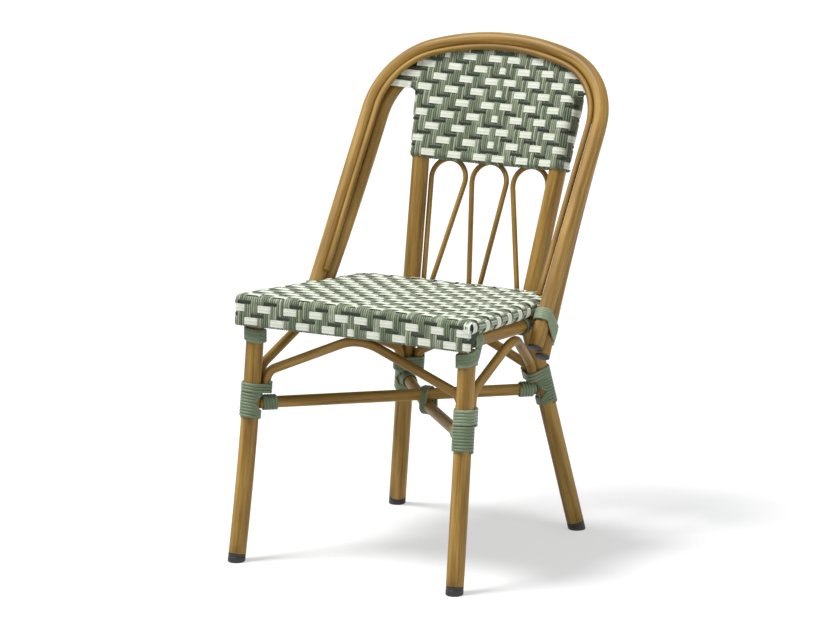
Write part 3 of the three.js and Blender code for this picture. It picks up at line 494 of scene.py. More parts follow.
def tube_material(name, has_grain):
    """Painted metal with the long brushed streaks of a rattan pole."""
    nodes = Nodes(name, 0.52, 0.42)
    if has_grain:
        long, fine = nodes.grain(0.006, 0.11), nodes.grain(0.02, 0.55)
    else:
        spot = nodes.add("ShaderNodeTexCoord").outputs["Object"]
        long, fine = nodes.scaled(spot, 6, 110), nodes.scaled(spot, 20, 550)
    broad, streak = nodes.noise(long, 4.0), nodes.noise(fine)
    base = nodes.ramp(broad, [(0.3, GOLD_DARK), (0.5, GOLD), (0.72, GOLD_LIGHT)])
    lines = nodes.ramp(streak, [(0.35, (0.80, 0.78, 0.74, 1)), (0.6, (1.08, 1.08, 1.08, 1))])
    nodes.paint(nodes.blend(0.6, base, nodes.blend(1.0, base, lines, "MULTIPLY")))
    nodes.rough(streak, 0.45, 0.6)
    nodes.bump(streak, 0.12, 0.0004)
    return nodes.material


def strip_material():
    """The white strips: flat extruded plastic with fine lines along it."""
    nodes = Nodes("white_strip", 0.5)
    across = nodes.add("ShaderNodeSeparateXYZ", {0: nodes.read("grain", "Vector")}).outputs["Y"]
    wave = nodes.maths("SINE", nodes.maths("MULTIPLY", across, 1.15), 0)
    patches = nodes.noise(nodes.grain(0.06, 0.12))
    white_stops = [(0.0, colour(222, 226, 210)), (0.3, colour(233, 236, 222)), (1.0, colour(240, 242, 230))]
    dull = nodes.ramp(patches, [(0.35, (0.9, 0.91, 0.88, 1)), (0.6, (1, 1, 1, 1))])
    nodes.paint(nodes.blend(1.0, nodes.ramp(wave, white_stops), dull, "MULTIPLY"))
    nodes.bump(wave, 0.15, 0.0003)
    return nodes.material


def strand_material(name, stops, roughness=0.5):
    """Extruded strand with streaks along it; the tone tells the strands apart."""
    nodes = Nodes(name, roughness)
    streak = nodes.noise(nodes.grain(0.03, 0.9))
    wander = nodes.maths("MULTIPLY", nodes.maths("SUBTRACT", streak, 0.5), 0.9)
    nodes.paint(nodes.ramp(nodes.maths("ADD", nodes.read("tone", "Fac"), wander), stops))
    nodes.bump(streak, 0.2, 0.0004)
    return nodes.material


def cap_material():
    nodes = Nodes("black_plastic", 0.5, 0.5)
    grit = nodes.noise(nodes.grain(0.4, 0.4))
    nodes.paint(nodes.ramp(grit, [(0.3, colour(26, 24, 26)), (0.7, colour(44, 41, 43))]))
    nodes.rough(grit, 0.4, 0.6)
    return nodes.material


tube_look = tube_material("rattan_tube", True)
plain_tube_look = tube_material("rattan_tube_plain", False)
white_look = strip_material()
sage_look = strand_material("sage_strand", [
    (0.0, colour(74, 84, 64)), (0.42, colour(118, 129, 105)),
    (0.75, colour(160, 169, 144)), (1.0, colour(200, 205, 184)),
])
dark_look = strand_material("dark_strip", [(0.2, colour(28, 38, 22)), (0.8, colour(50, 62, 42))])
binding_look = strand_material("binding_strand", [
    (0.0, colour(77, 91, 69)), (0.5, colour(117, 133, 104)), (1.0, colour(157, 171, 143)),
])
# Painted shade: the dark sheets inside the weaves stand for the shade between the strands
painted_shade_sheet_look = strand_material("painted_shade_sheet", [(0.2, colour(40, 48, 38)), (0.8, colour(66, 76, 60))], 0.8)
cap_look = cap_material()

draw = random.Random(7)


# Tubes

def tube_piece(name, path, radius, node):
    """A tube with slightly worn ends."""
    path = refined(path)
    worn = 1.0
    path.insert(1, path[0] + (path[1] - path[0]).normalized() * worn)
    path.insert(-1, path[-1] + (path[-2] - path[-1]).normalized() * worn)
    scales = [1 - worn / radius] + [1] * (len(path) - 2) + [1 - worn / radius]
    pile = Pile()
    section = round_section(radius, 16 if radius <= BAR else 28)
    pile.sweep(path, section, seed=draw.uniform(0, 9000), scales=scales)
    pile.finish(name, tube_look, "tube", node, sharp=50)


front_leg_path = [front_leg_point(z) for z in spread(LEG_FLOOR, FRONT_LEG_TOP, 24)]
rear_leg_path = bent_path([rear_leg_point(LEG_FLOOR), REAR_BEND, post_point(POST_TOP_Z)], [100])
for side, word in SIDES:
    tube_piece(f"leg_front_{word}", mirrored(front_leg_path, side), LEG, f"front_leg_{word}")
    tube_piece(f"leg_rear_{word}", mirrored(rear_leg_path, side), LEG, f"rear_leg_post_{word}")
    tube_piece(f"arch_side_{word}", side_arch_path(side), ARCH, f"side_arch_{word}")

rail_z = seat_top_z(FRONT_RAIL_Y) - FRONT_RAIL_DEPTH
front_rail_path = [vec(x, FRONT_RAIL_Y, rail_z) for x in (19 - HALF_WIDTH, HALF_WIDTH - 19)]
rail_corners = [under_seat(side_rail_x(y), y, SIDE_RAIL_DEPTH) for y in (RAIL_FRONT_Y, RAIL_REAR_Y)]
seat_rail_path = bent_path(rail_corners + mirrored(rail_corners, -1)[::-1], [45, 45])
tube_piece("rail_front", front_rail_path, RAIL, "front_rail")
tube_piece("rail_seat", seat_rail_path, RAIL, "seat_rail")
tube_piece("hoop_front", front_hoop_path, HOOP, "front_hoop")
tube_piece("hoop_rear", rear_hoop_path, HOOP, "rear_hoop")
tube_piece("rod_hoop", rod_path, ROD, "hoop_rod")
side_foot = post_point(LOWER_BAR_Z).x - 18.4
loops = {
    "middle": (0, 9, -9),
    "right": (LOOP_SPACING, side_foot, side_foot - 13),
    "left": (-LOOP_SPACING, 13 - side_foot, -side_foot),
}
for word, places in loops.items():
    tube_piece(f"loop_{word}", loop_path(*places), LOOP, f"back_loop_{word}")
front_arch_path = cross_arch_path("front", 33, vec(0, 52, 401.4), 28)
rear_arch_path = cross_arch_path("rear", 17, vec(0, 425, 349), 20)
lower_path = bent_path([lower_front, lower_middle, lower_rear], [300])
tube_piece("arch_front", front_arch_path, ARCH, "front_arch")
tube_piece("arch_rear", rear_arch_path, ARCH, "rear_arch")
tube_piece("stretcher_upper", trimmed([upper_front, upper_rear], 14), STRETCHER, "upper_stretcher")
tube_piece("stretcher_lower", trimmed(lower_path, 14), STRETCHER, "lower_stretcher")


# Glides and hoop caps

def glide(name, leg_point, side, node):
    centre, axis, across, behind = leg_frame(leg_point, GLIDE_HEIGHT)
    pile = Pile()
    sides = 32
    low, groove = (LEG - 1.2, 0.0), LEG - 0.7
    levels = [low, (LEG, 0.1), (LEG, 0.62), (groove, 0.66), (groove, 0.72), (LEG, 0.76), (LEG, 1.0)]
    for radius, share in levels:
        for corner in range(sides):
            angle = TURN * corner / sides * side
            top = centre + (across * cos(angle) + behind * sin(angle)) * radius
            point = (top - axis * (top.z / axis.z)).lerp(top, share)
            grain = (point.z, radius * cos(angle), radius * sin(angle))
            pile.add(flipped(point, side), grain)
    pile.ring_faces(0, len(levels), sides)
    pile.finish(name, cap_look, "cap", node, sharp=35)


def hoop_cap(name, path, node):
    end, following = path
    pile = Pile()
    profile = [(HOOP - 0.6, 0.2), (HOOP, 0.6), (HOOP, 2.4), (HOOP - 0.6, 3.4), (HOOP - 2, 4), (HOOP - 8, 4.6)]
    pile.lathe(end, (end - following).normalized(), profile)
    pile.finish(name, cap_look, "cap", node, sharp=40)


for side, word in SIDES:
    glide(f"glide_front_{word}", front_leg_point, side, f"front_glide_{word}")
    glide(f"glide_rear_{word}", rear_leg_point, side, f"rear_glide_{word}")
    hoop_cap(f"cap_front_hoop_{word}", front_hoop_path[::side][:2], f"front_hoop_cap_{word}")
    hoop_cap(f"cap_rear_hoop_{word}", rear_hoop_path[::side][:2], f"rear_hoop_cap_{word}")

# The CAD nodes that stay showing
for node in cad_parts:
    if node in ("seat_front_frame", "seat_side_frame", "lower_bar") or node.startswith("seat_spacer"):
        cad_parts[node].data.materials.clear()
        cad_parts[node].data.materials.append(plain_tube_look)


# The weave's pattern: a weft row shows over two units and dives under two, mirrored at the middle

def weft_shows(unit, shift, right_end=False):
    """At its right end the apron's rows all show over the last unit."""
    return (right_end and unit >= 18 and shift) or (abs(unit) + shift) % 4 < 2


WARP_LIFT, WEFT_LIFT, FABRIC_SINK = 1.1, 1.0, 1.3
TOP_WARP_LIFT, TOP_WHITE_LIFT = 0.5, 1.9
SEAT_WIDTHS, BACK_WIDTHS, STRIP_THICKNESS = (5.4, 12.3), (5.0, 11.9), 1.1  # widths: dark, white
# Depths of the dark sheets of painted shade inside the weaves
SHADE_SHEET_OUTER, SHADE_SHEET_INNER = -0.3, -0.9


def warp_heights(unit, rows, lift=WARP_LIFT, apron=False):
    """Stations (v, height) of a warp unit over and under rows of (v, shift, width).
    In a wide gap between two rows the warp comes up to the surface."""
    stations = []
    edge = None
    for v, shift, width in rows:
        if edge is not None and v - width / 2 - edge > 5:
            steps = round((v - width / 2 - edge) / 2.6)
            stations += [(between, 0.5) for between in spread(edge, v - width / 2, steps)]
        height = -WARP_LIFT if weft_shows(unit, shift, apron and v < -3) else lift
        reach = width * 0.33
        stations += [(v - reach, height), (v, height * 1.06), (v + reach, height)]
        edge = v + width / 2
    return stations


def strand_piece(name, strands, look, node, sharp=None):
    """strands: (stations, section, tone); a station is a point and the way out there."""
    pile = Pile()
    for stations, section, tone in strands:
        path, normals = zip(*stations)
        pile.sweep(path, section, normals, seed=draw.uniform(0, 9000), tone=tone)
    pile.finish(name, look, "weave", node, sharp)


def weft_sections(dark, white):
    return strip_section(dark, STRIP_THICKNESS, 0.3), strip_section(white, STRIP_THICKNESS, 0.15)


def strand_tone():
    return draw.choice((0.25, 0.4, 0.5, 0.62, 0.8)) + draw.uniform(-0.06, 0.06)


def with_widths(rows, widths):
    return [(v, shift, widths[shift % 2]) for v, shift in rows]


def weft_stations(last, shift, lift=WEFT_LIFT, apron=False):
    """Stations (unit place, height) of a weft from one end to the other."""
    stations = []
    whole = int(last)
    for unit in range(-whole, whole + 1):
        height = lift if weft_shows(unit, shift, apron) else -WEFT_LIFT
        stations += [(unit - 0.3, height), (unit, height), (unit + 0.3, height)]
    if last > whole + 0.45:
        height = stations[-1][1]
        stations = [(-last, height)] + stations + [(last, height)]
    return stations


# Seat weave

SIDE_ROLL = 12
FLAT_START = SEAT_FRONT_Y + FRONT_ROUND
FRONT_ROLL_LENGTH = FRONT_ROUND * pi / 2
APRON_LENGTH = FRONT_ROLL_LENGTH + APRON_HEIGHT - FRONT_ROUND
SEAT_UNITS, PATTERN_SHIFT = 18.42, -4.0
SIDE_STRANDS_END = 380 - FLAT_START
CORNER_CENTRE = (HALF_WIDTH - FRONT_CORNER, SEAT_FRONT_Y + FRONT_CORNER)
REAR_CENTRE_Y = SEAT_REAR_Y - REAR_CORNER
REAR_CENTRE_X = seat_side_x(REAR_CENTRE_Y) - REAR_CORNER


FRONT_HOLLOW, CORNER_FORWARD, HOLLOW_DEPTH = 2.5, 7.0, 110
FRONT_NARROWING, NARROW_DEPTH = 0.036, 32
STRAND_FLAT = 0.62


def tilted(x, y, depth, normal):
    """A point of the seat, and a direction, from the level seat to the tilted one.
    Towards the front the seat narrows a little and its corners reach forward."""
    lean = atan(SEAT_FALL)
    behind_front = max(0.0, y - SEAT_FRONT_Y)
    hollow = FRONT_HOLLOW - CORNER_FORWARD * min(1.0, (x / 229) ** 2)
    y += max(0.0, 1 - behind_front / HOLLOW_DEPTH) * hollow
    x *= 1 - FRONT_NARROWING * max(0.0, 1 - behind_front / NARROW_DEPTH)
    dy, dz = y - SEAT_SIDE_Y, -depth

    def turned(y, z):
        return y * cos(lean) + z * sin(lean), z * cos(lean) - y * sin(lean)

    (dy, dz), way_out = turned(dy, dz), turned(normal.y, normal.z)
    return vec(x, SEAT_SIDE_Y + dy, SEAT_HEIGHT + dz), vec(normal.x, *way_out)


def dent(y):
    """How far the side gives way to the binding of the hoops."""
    return 4 * max(0, 1 - ((y - 272) / 46) ** 2)


def half_width(y):
    if y < CORNER_CENTRE[1]:
        return CORNER_CENTRE[0] + sqrt(max(0, FRONT_CORNER**2 - (CORNER_CENTRE[1] - y) ** 2))
    if y > REAR_CENTRE_Y:
        return REAR_CENTRE_X + sqrt(max(0, REAR_CORNER**2 - (y - REAR_CENTRE_Y) ** 2))
    return seat_side_x(y) - dent(y)


def side_profile(a, y, lift):
    """A place across the top of the seat and round its side roll, at an arc length from the middle."""
    flat = half_width(y) - SIDE_ROLL
    sign = 1 if a >= 0 else -1
    radius = SIDE_ROLL - FABRIC_SINK + lift
    if abs(a) <= flat:
        return tilted(a, y, FABRIC_SINK - lift, vec(0, 0, 1))
    angle = (abs(a) - flat) / SIDE_ROLL
    out = vec(sign * sin(angle), 0, cos(angle))
    return tilted(sign * flat + out.x * radius, y, SIDE_ROLL - out.z * radius, out)


def outline_front(u):
    """The plan outline from the middle of the front, round the corner: point and outward direction."""
    sign = 1 if u >= 0 else -1
    if abs(u) <= CORNER_CENTRE[0]:
        return (u, SEAT_FRONT_Y), vec(0, -1, 0)
    angle = min((abs(u) - CORNER_CENTRE[0]) / FRONT_CORNER, pi / 2)
    beyond = abs(u) - CORNER_CENTRE[0] - angle * FRONT_CORNER
    out = vec(sign * sin(angle), -cos(angle), 0)
    y = CORNER_CENTRE[1] + out.y * FRONT_CORNER + beyond
    return (sign * CORNER_CENTRE[0] + out.x * FRONT_CORNER, y), out


def rolled(edge, out, roll, angle, lift):
    """A place on a roll whose outer side is at an edge (x, y); the angle starts at its top."""
    radius = roll - FABRIC_SINK + lift
    inset, depth = roll - radius * sin(angle), roll - radius * cos(angle)
    normal = out * sin(angle) + vec(0, 0, cos(angle))
    return tilted(edge[0] - out.x * inset, edge[1] - out.y * inset, depth, normal)


def apron_profile(u, v, lift):
    """A place on the front roll and the apron: v is 0 where the flat top starts, and falls."""
    (x, y), out = outline_front(u)
    down = -v
    if down < FRONT_ROLL_LENGTH:
        return rolled((x, y), out, FRONT_ROUND, down / FRONT_ROUND, lift)
    if down < APRON_LENGTH:
        inset, depth, normal = FABRIC_SINK - lift, FRONT_ROUND + down - FRONT_ROLL_LENGTH, out
    else:
        curl = 3.4
        angle = min((down - APRON_LENGTH) / curl, pi * 1.1)
        radius = curl - FABRIC_SINK + lift * 0.6
        inset = curl - radius * cos(angle)
        depth = APRON_HEIGHT - curl * 0.3 + radius * sin(angle)
        normal = out * cos(angle) + vec(0, 0, -sin(angle))
    return tilted(x - out.x * inset, y - out.y * inset, depth, normal)


def rear_edge_y(x):
    across = min(abs(x), REAR_CENTRE_X + REAR_CORNER - 0.5)
    if across > REAR_CENTRE_X:
        return REAR_CENTRE_Y + sqrt(REAR_CORNER**2 - (across - REAR_CENTRE_X) ** 2)
    return SEAT_REAR_Y + SEAT_REAR_CROWN * (1 - (across / REAR_CENTRE_X) ** 2)


def rear_out(x):
    """The outward direction of the rear outline."""
    across = min(abs(x), REAR_CENTRE_X + REAR_CORNER - 0.5)
    sign = 1 if x >= 0 else -1
    if across > REAR_CENTRE_X:
        swing = asin((across - REAR_CENTRE_X) / REAR_CORNER)
        return vec(sign * sin(swing), cos(swing), 0)
    return vec(sign * 2 * SEAT_REAR_CROWN * across / REAR_CENTRE_X**2, 1, 0).normalized()


def rear_profile(x, v, lift):
    """A place on the rear roll: v is 0 where the flat top ends, and grows."""
    return rolled((x, rear_edge_y(x)), rear_out(x), SIDE_ROLL, v / SIDE_ROLL, lift)


def unit_pitch(y):
    return seat_side_x(y) / SEAT_UNITS


def seat_place(s, y):
    """How far from the middle a unit of the pattern lies."""
    return s * unit_pitch(y) + PATTERN_SHIFT


# Rows: (place, shift). Where the shift is odd the strip is white, and dark where it is even.
ROW_STEP = 11
apron_rows = [(-48.6, 1), (-38.4, 2), (-26.9, 3), (-16.2, 0)]
top_rows = [(2.6, 1), (11.0, 2), (19.4, 3)]
while top_rows[-1][0] + ROW_STEP < 345:
    top_rows.append((top_rows[-1][0] + ROW_STEP, (top_rows[-1][1] + 1) % 4))
rear_rows = [(2.5 + ROW_STEP * k, (top_rows[-1][1] + 1 + k) % 4) for k in range(4)]


def seat_wefts():
    """The seat's strips: the dark ones and the white ones."""
    strips = [], []
    sections = weft_sections(*SEAT_WIDTHS)
    lifts = WEFT_LIFT, TOP_WHITE_LIFT

    def lay(stations, shift):
        strips[shift % 2].append((stations, sections[shift % 2], draw.uniform(0.2, 0.8)))

    for v, shift in apron_rows:
        stations = weft_stations(241 / unit_pitch(SEAT_FRONT_Y), shift, apron=True)
        lay([apron_profile(seat_place(s, SEAT_FRONT_Y), v, lift) for s, lift in stations], shift)
    # At the right corner one white strip turns up over the roll
    upright = [(mix(-25.0, -2.0, share), 1.3 - 2.0 * share**3) for share in spread(0, 1, 7)]
    lay([apron_profile(229.5, v, lift) for v, lift in upright], 1)
    for v, shift in top_rows:
        y = FLAT_START + v
        last = (half_width(y) - SIDE_ROLL + SIDE_ROLL * radians(205)) / unit_pitch(y)
        stations = weft_stations(last, shift, lifts[shift % 2])
        lay([side_profile(seat_place(s, y), y, lift) for s, lift in stations], shift)
    last = (REAR_CENTRE_X + REAR_CORNER * 0.62) / unit_pitch(SEAT_REAR_Y)
    for v, shift in rear_rows:
        stations = weft_stations(last, shift, lifts[shift % 2])
        lay([rear_profile(seat_place(s, SEAT_REAR_Y), v, lift) for s, lift in stations], shift)
    return strips


def seat_warps():
    """The seat's strands by unit, three to a unit, from the apron over the top to the rear roll."""
    strands = []
    front_rows, roll_rows = with_widths(apron_rows, SEAT_WIDTHS), with_widths(rear_rows, SEAT_WIDTHS)
    flat_rows = with_widths(top_rows, SEAT_WIDTHS)
    section = round_section(min(unit_pitch(SEAT_FRONT_Y), 12.2) / 3 * 0.98 / 2, 6, STRAND_FLAT)
    for unit in range(-21, 22):
        over_top = warp_heights(unit, flat_rows, TOP_WARP_LIFT)
        for part in (-1, 0, 1):
            s = unit + part / 3
            front_u, rear_x = seat_place(s, SEAT_FRONT_Y), seat_place(s, SEAT_REAR_Y)
            stations = []
            if -19 <= unit <= 18:
                front = [(-APRON_LENGTH - under, lift) for under, lift in ((13, 0), (9, 0), (5, 0), (1, 0.6))]
                front += warp_heights(unit, front_rows + flat_rows[:1], apron=True)
                stations += [apron_profile(front_u, v, height) for v, height in front if v < -3.6]
            if abs(unit) <= 18:
                flat_end = rear_edge_y(rear_x) - SIDE_ROLL - FLAT_START
                for v, height in over_top:
                    y = FLAT_START + v
                    if v < 0:
                        stations.append(apron_profile(front_u, v, height))
                    elif v < flat_end - 3:
                        stations.append(side_profile(seat_place(s, y), y, height))
                rear = warp_heights(unit, roll_rows, TOP_WARP_LIFT) + [(SIDE_ROLL * radians(200), 0)]
                stations += [rear_profile(rear_x, v, height) for v, height in rear if v > 0]
            else:
                side = [(FLAT_START + v, height) for v, height in over_top if 0 < v < SIDE_STRANDS_END]
                side = [side_profile(seat_place(s, y), y, height) for y, height in side]
                stations += side[1:] if unit == -19 else side
            strands.append((unit, (stations, section, strand_tone())))
    return strands


def seat_painted_shade_sheet():
    """A dark sheet inside the weave: painted shade between its strands, so that no light shows through them.
    """
    turned = SIDE_ROLL * radians(185)
    rear_end = REAR_CENTRE_X + REAR_CORNER * 0.9
    spots = [("front", u) for u in spread(-240.0, 240.0, 60)]
    spots += [("right", y) for y in spread(52.0, REAR_CENTRE_Y, 30)[1:]]
    spots += [("rear", x) for x in spread(rear_end, -rear_end, 60)]
    spots += [("left", y) for y in spread(REAR_CENTRE_Y, 52.0, 30)[:-1]]

    def spot(kind, value, share, lift):
        if kind == "front":
            return apron_profile(value, -(APRON_LENGTH + 2) * share - 0.01, lift)[0]
        if kind == "rear":
            return rear_profile(value, turned * share + 0.01, lift)[0]
        a = half_width(value) - SIDE_ROLL + turned * share + 0.01
        return side_profile(a if kind == "right" else -a, value, lift)[0]

    pile = Pile()
    depths = spread(0, 1, 10)
    rings = [(SHADE_SHEET_OUTER, share) for share in depths] + [(SHADE_SHEET_INNER, share) for share in depths[::-1]]
    for lift, share in rings:
        for kind, value in spots:
            pile.add(spot(kind, value, share, lift), tone=0.5)
    count = len(spots)
    pile.ring_faces(0, len(rings), count)
    del pile.faces[-2:]
    for lift in (SHADE_SHEET_OUTER, SHADE_SHEET_INNER):
        pile.add(tilted(0, 215, FABRIC_SINK - lift, vec(0, 0, 1))[0], tone=0.5)
    centre = len(pile.points) - 1
    last = (len(rings) - 1) * count
    for k in range(count):
        following = (k + 1) % count
        pile.faces += [(centre - 1, following, k), (centre, last + k, last + following)]
    return pile


seat_darks, seat_whites = seat_wefts()
warps = seat_warps()
seat_painted_shade_sheet().finish("seat_painted_shade_sheet", painted_shade_sheet_look, "weave", "seat_weave")
strand_piece("seat_white_strips", seat_whites, white_look, "seat_weave", sharp=40)
strand_piece("seat_dark_strips", seat_darks, dark_look, "seat_weave", sharp=40)
for word, low, high in (("left", -21, -8), ("middle", -7, 7), ("right", 8, 21)):
    chosen = [strand for unit, strand in warps if low <= unit <= high]
    strand_piece(f"seat_strands_{word}", chosen, sage_look, "seat_weave")


# Back weave

BACK_PITCH = 12.25
PANEL_LIFT_MIDDLE, PANEL_LIFT_EDGE = 3.0, 13.0
SLEEVE = LEG + 2.2
ROWS_START, ROWS_END = 634, 820
ROWS_HIGH = 186  # from the panel's lower bar to its top
PANEL_SIDE_TOP = 757  # where the panel ends round the posts
RUN_OUT_LEFT, RUN_OUT_RIGHT = 742, 750  # above these heights the rows run out to the rod


def rod_point(x):
    return on_hoop_plane(x, arch_along(x, ROD_INSET), ROD_BEHIND)


def rod_z(x):
    return rod_point(x).z


def rod_along(z):
    """How far up the hoop's plane the rod is, at a height."""
    return (z - HOOP_BASE_Z + ROD_BEHIND * sin(HOOP_LEAN)) / cos(HOOP_LEAN)


def rod_x(z):
    above = max(0, rod_along(z) - CORNER_ALONG)
    return CORNER_X + sqrt(max(0, (CORNER_RADIUS - ROD_INSET) ** 2 - above * above))


def panel_lift(x, z):
    share = abs(x) / post_point(z).x
    return PANEL_LIFT_MIDDLE + PANEL_LIFT_EDGE * min(share, 1.0) ** 2


def panel_flat(z):
    """How far from the middle the panel starts to turn round the post."""
    post_x = post_point(z).x
    return post_x - SLEEVE * sin(atan(2 * PANEL_LIFT_EDGE / post_x))


def panel_out(x, z, lift):
    """A place of the panel where it runs out past the post, to the back of the rod."""
    post_x = post_point(z).x
    rod_y = HOOP_BASE_Y + rod_along(z + 8) * sin(HOOP_LEAN) + ROD_BEHIND * cos(HOOP_LEAN)
    far = (post_point(z).y - rod_y - 6) / -POST_NORMAL.y
    share = max(0.0, min(1.0, (abs(x) - post_x) / max(6.0, rod_x(z + 8) - post_x)))
    return on_post_plane(x, z, mix(SLEEVE, far, share) + lift), POST_NORMAL


def slanted(a, z):
    """The pattern moves a little to the right towards the top."""
    return a + (4.3 + 6.1 * max(0.0, 1 - (a / 145) ** 2)) * max(0.0, (z - BACK_BAR_Z) / ROWS_HIGH) ** 2


def back_profile(a, z, lift):
    """A place across the back panel and round its posts, at an arc length from the middle."""
    sign = 1 if a >= 0 else -1
    post_x = post_point(z).x
    swing = atan(2 * PANEL_LIFT_EDGE / post_x)
    flat = panel_flat(z)
    if abs(a) <= flat:
        share = abs(a) / flat
        rise = SLEEVE * cos(swing) - PANEL_LIFT_MIDDLE
        tilt = atan(2 * rise * share / flat)
        out = vec(-sign * sin(tilt), 0, 0) + POST_NORMAL * cos(tilt)
        lean = -10.5 * (1 - share * share) * max(0.0, (z - BACK_BAR_Z) / ROWS_HIGH) ** 2
        middle = on_post_plane(a, z, PANEL_LIFT_MIDDLE + rise * share * share)
        return middle + out * lift + vec(0, lean, 0), out
    angle = (abs(a) - flat) / SLEEVE - swing
    out = vec(sign * sin(angle), 0, 0) + POST_NORMAL * cos(angle)
    return on_post_plane(sign * post_x, z, 0) + out * (SLEEVE + lift), out


# Rows from the bottom upwards: the narrow middle whites sit at these heights
middle_whites = [615.0, 659.6, 703.5, 746.5, 785.6, 824.6]
back_rows = []
for low, high in zip(middle_whites, middle_whites[1:]):
    back_rows += zip(spread(low, high, 4), (1, 2, 3, 0))
back_rows = [row for row in back_rows if ROWS_START < row[0] < ROWS_END]


def runs_out(a, z):
    """The upper rows run out to the rod; the others turn round the posts."""
    return z > (RUN_OUT_RIGHT if a > 0 else RUN_OUT_LEFT)


def panel_place(a, z, lift):
    """A place of the panel, run out or turned round the post."""
    if runs_out(a, z) and abs(a) > panel_flat(z):
        return panel_out(a, z, lift)
    return back_profile(a, z, lift)


def row_reach(side, z):
    """How far from the middle a row ends."""
    if not runs_out(side, z):
        return post_point(z).x - 4 + SLEEVE * radians(190)
    x = 0
    while x < rod_x(z + 8) - 1 and rod_z(x) + 1 > z + POST_NORMAL.z * panel_lift(x, z):
        x += 1
    return x


def back_wefts():
    """The back's strips: the dark ones and the white ones."""
    strips = [], []
    sections = weft_sections(*BACK_WIDTHS)
    for z, shift in back_rows:
        left, right = row_reach(-1, z), row_reach(1, z)
        stations = []
        for s, lift in weft_stations(max(left, right) / BACK_PITCH + 1, shift):
            a = slanted(s * BACK_PITCH, z)
            if -left <= a <= right:
                stations.append(panel_place(a, z, lift))
        strips[shift % 2].append((stations, sections[shift % 2], draw.uniform(0.2, 0.8)))
    return strips


def back_warps():
    """Upright strands, three to a unit, from a loop round the lower bar to the rod or the side's top."""
    strands = []
    rows = with_widths(back_rows, BACK_WIDTHS)
    section = round_section(BACK_PITCH / 6 * 0.98, 6, STRAND_FLAT)
    loop = 7.5
    for unit in range(-17, 18):
        profile = panel_place if abs(unit) <= 14 else back_profile
        for part in (-1, 0, 1):
            s = (unit + part / 3) * BACK_PITCH
            stations = []
            if abs(unit) <= 13:
                point = back_profile(s, 631.5, -1.5 if weft_shows(unit, 3) else 1.3)[0]
                for turn in (150, 90, 40, 0):
                    angle = radians(turn)
                    normal = POST_NORMAL * cos(angle) - POST_DIRECTION * sin(angle)
                    stations.append((point + normal * loop - POST_NORMAL * loop + POST_DIRECTION * 4, normal))
            top = {-14: 742, -13: 762, 13: 762, 14: 752}.get(unit, PANEL_SIDE_TOP)
            if abs(unit) <= 12:
                top = rod_z(slanted(s, 800)) + 1 - POST_NORMAL.z * panel_lift(s, 800)
            for z, height in warp_heights(unit, rows) + [(top, 0)]:
                if 633.5 < z <= top:
                    stations.append(profile(slanted(s, z), z, height))
            strands.append((stations, section, strand_tone()))
    return strands


# A dark sheet behind the back weave: painted shade between its strands, so that no light shows through them
def back_painted_shade_sheet():
    pile = Pile()
    across, levels = 72, 24
    limit = post_point(700).x - 4 + SLEEVE * radians(185)
    corner = post_point(784).x
    columns = list(range(across + 1))
    for lift, order in ((SHADE_SHEET_OUTER, columns), (SHADE_SHEET_INNER, columns[::-1])):
        for column in order:
            x = (2 * column / across - 1) * limit
            top = PANEL_SIDE_TOP if abs(x) > corner - 6 else rod_z(min(abs(x), corner - 2)) - 6
            for z in spread(634.5, top, levels):
                pile.add(back_profile(x, z, lift)[0], tone=0.5)
    count = levels + 1
    rings = 2 * len(columns)
    for ring in range(rings):
        for level in range(levels):
            a, b = ring * count + level, (ring + 1) % rings * count + level
            pile.faces.append((a, b, b + 1, a + 1))
    for column in range(across):
        front, back = column * count, (rings - 1 - column) * count
        pile.faces.append((front + count, front, back, back - count))
        pile.faces.append((front + levels, front + count + levels, back - count + levels, back + levels))
    return pile


back_darks, back_whites = back_wefts()
back_painted_shade_sheet().finish("back_painted_shade_sheet", painted_shade_sheet_look, "weave", "back_weave")
strand_piece("back_white_strips", back_whites, white_look, "back_weave", sharp=40)
strand_piece("back_dark_strips", back_darks, dark_look, "back_weave", sharp=40)
strand_piece("back_strands", back_warps(), sage_look, "back_weave")
bar_path = []
for share in spread(-1, 1, 24):
    x = share * (post_point(BACK_BAR_Z).x - 12)
    bar_path.append(on_post_plane(x, BACK_BAR_Z, panel_lift(x, BACK_BAR_Z) - 8.5))
tube_piece("bar_back", bar_path, BAR, "back_bar")


# Bindings

def reach_towards(circles, angle):
    """How far a bundle of circles (x, y, radius) reaches in a direction."""
    return max(x * cos(angle) + y * sin(angle) + radius for x, y, radius in circles)


def side_directions(circles, steps_per_turn):
    """Directions all round a bundle, with the straight bridges between its circles among them."""
    bridges = []
    for index, one in enumerate(circles):
        for other in circles[index + 1 :]:
            gap = hypot(other[0] - one[0], other[1] - one[1])
            heading = atan2(other[1] - one[1], other[0] - one[0])
            swing = acos((one[2] - other[2]) / gap)
            for angle in (heading + swing, heading - swing):
                if reach_towards([one], angle) > reach_towards(circles, angle) - 0.01:
                    bridges.append((angle + 2 * TURN) % TURN)
    fixed = sorted(bridges) or [0.0]
    angles = []
    for start, following in zip(fixed, fixed[1:] + [fixed[0] + TURN]):
        steps = max(1, round((following - start) * steps_per_turn / TURN))
        angles += spread(start, following, steps)[:-1]
    return angles


def winding_corners(circles, reach, steps_per_turn=28):
    """The corners of one loop round a bundle, with their angles."""
    angles = side_directions(circles, steps_per_turn)
    corners = []
    for first, second in zip(angles, angles[1:] + [angles[0] + TURN]):
        a, b = (reach_towards(circles, angle) + reach for angle in (first, second))
        turn = sin(second - first)
        x = (a * sin(second) - b * sin(first)) / turn
        y = (b * cos(first) - a * cos(second)) / turn
        corners.append((x, y, (first + second) / 2))
    return corners


STRAND_WIDE, STRAND = 2.75, 1.7
WINDING_PITCH = 5.2
LEG_CIRCLE = (0, 0, LEG)


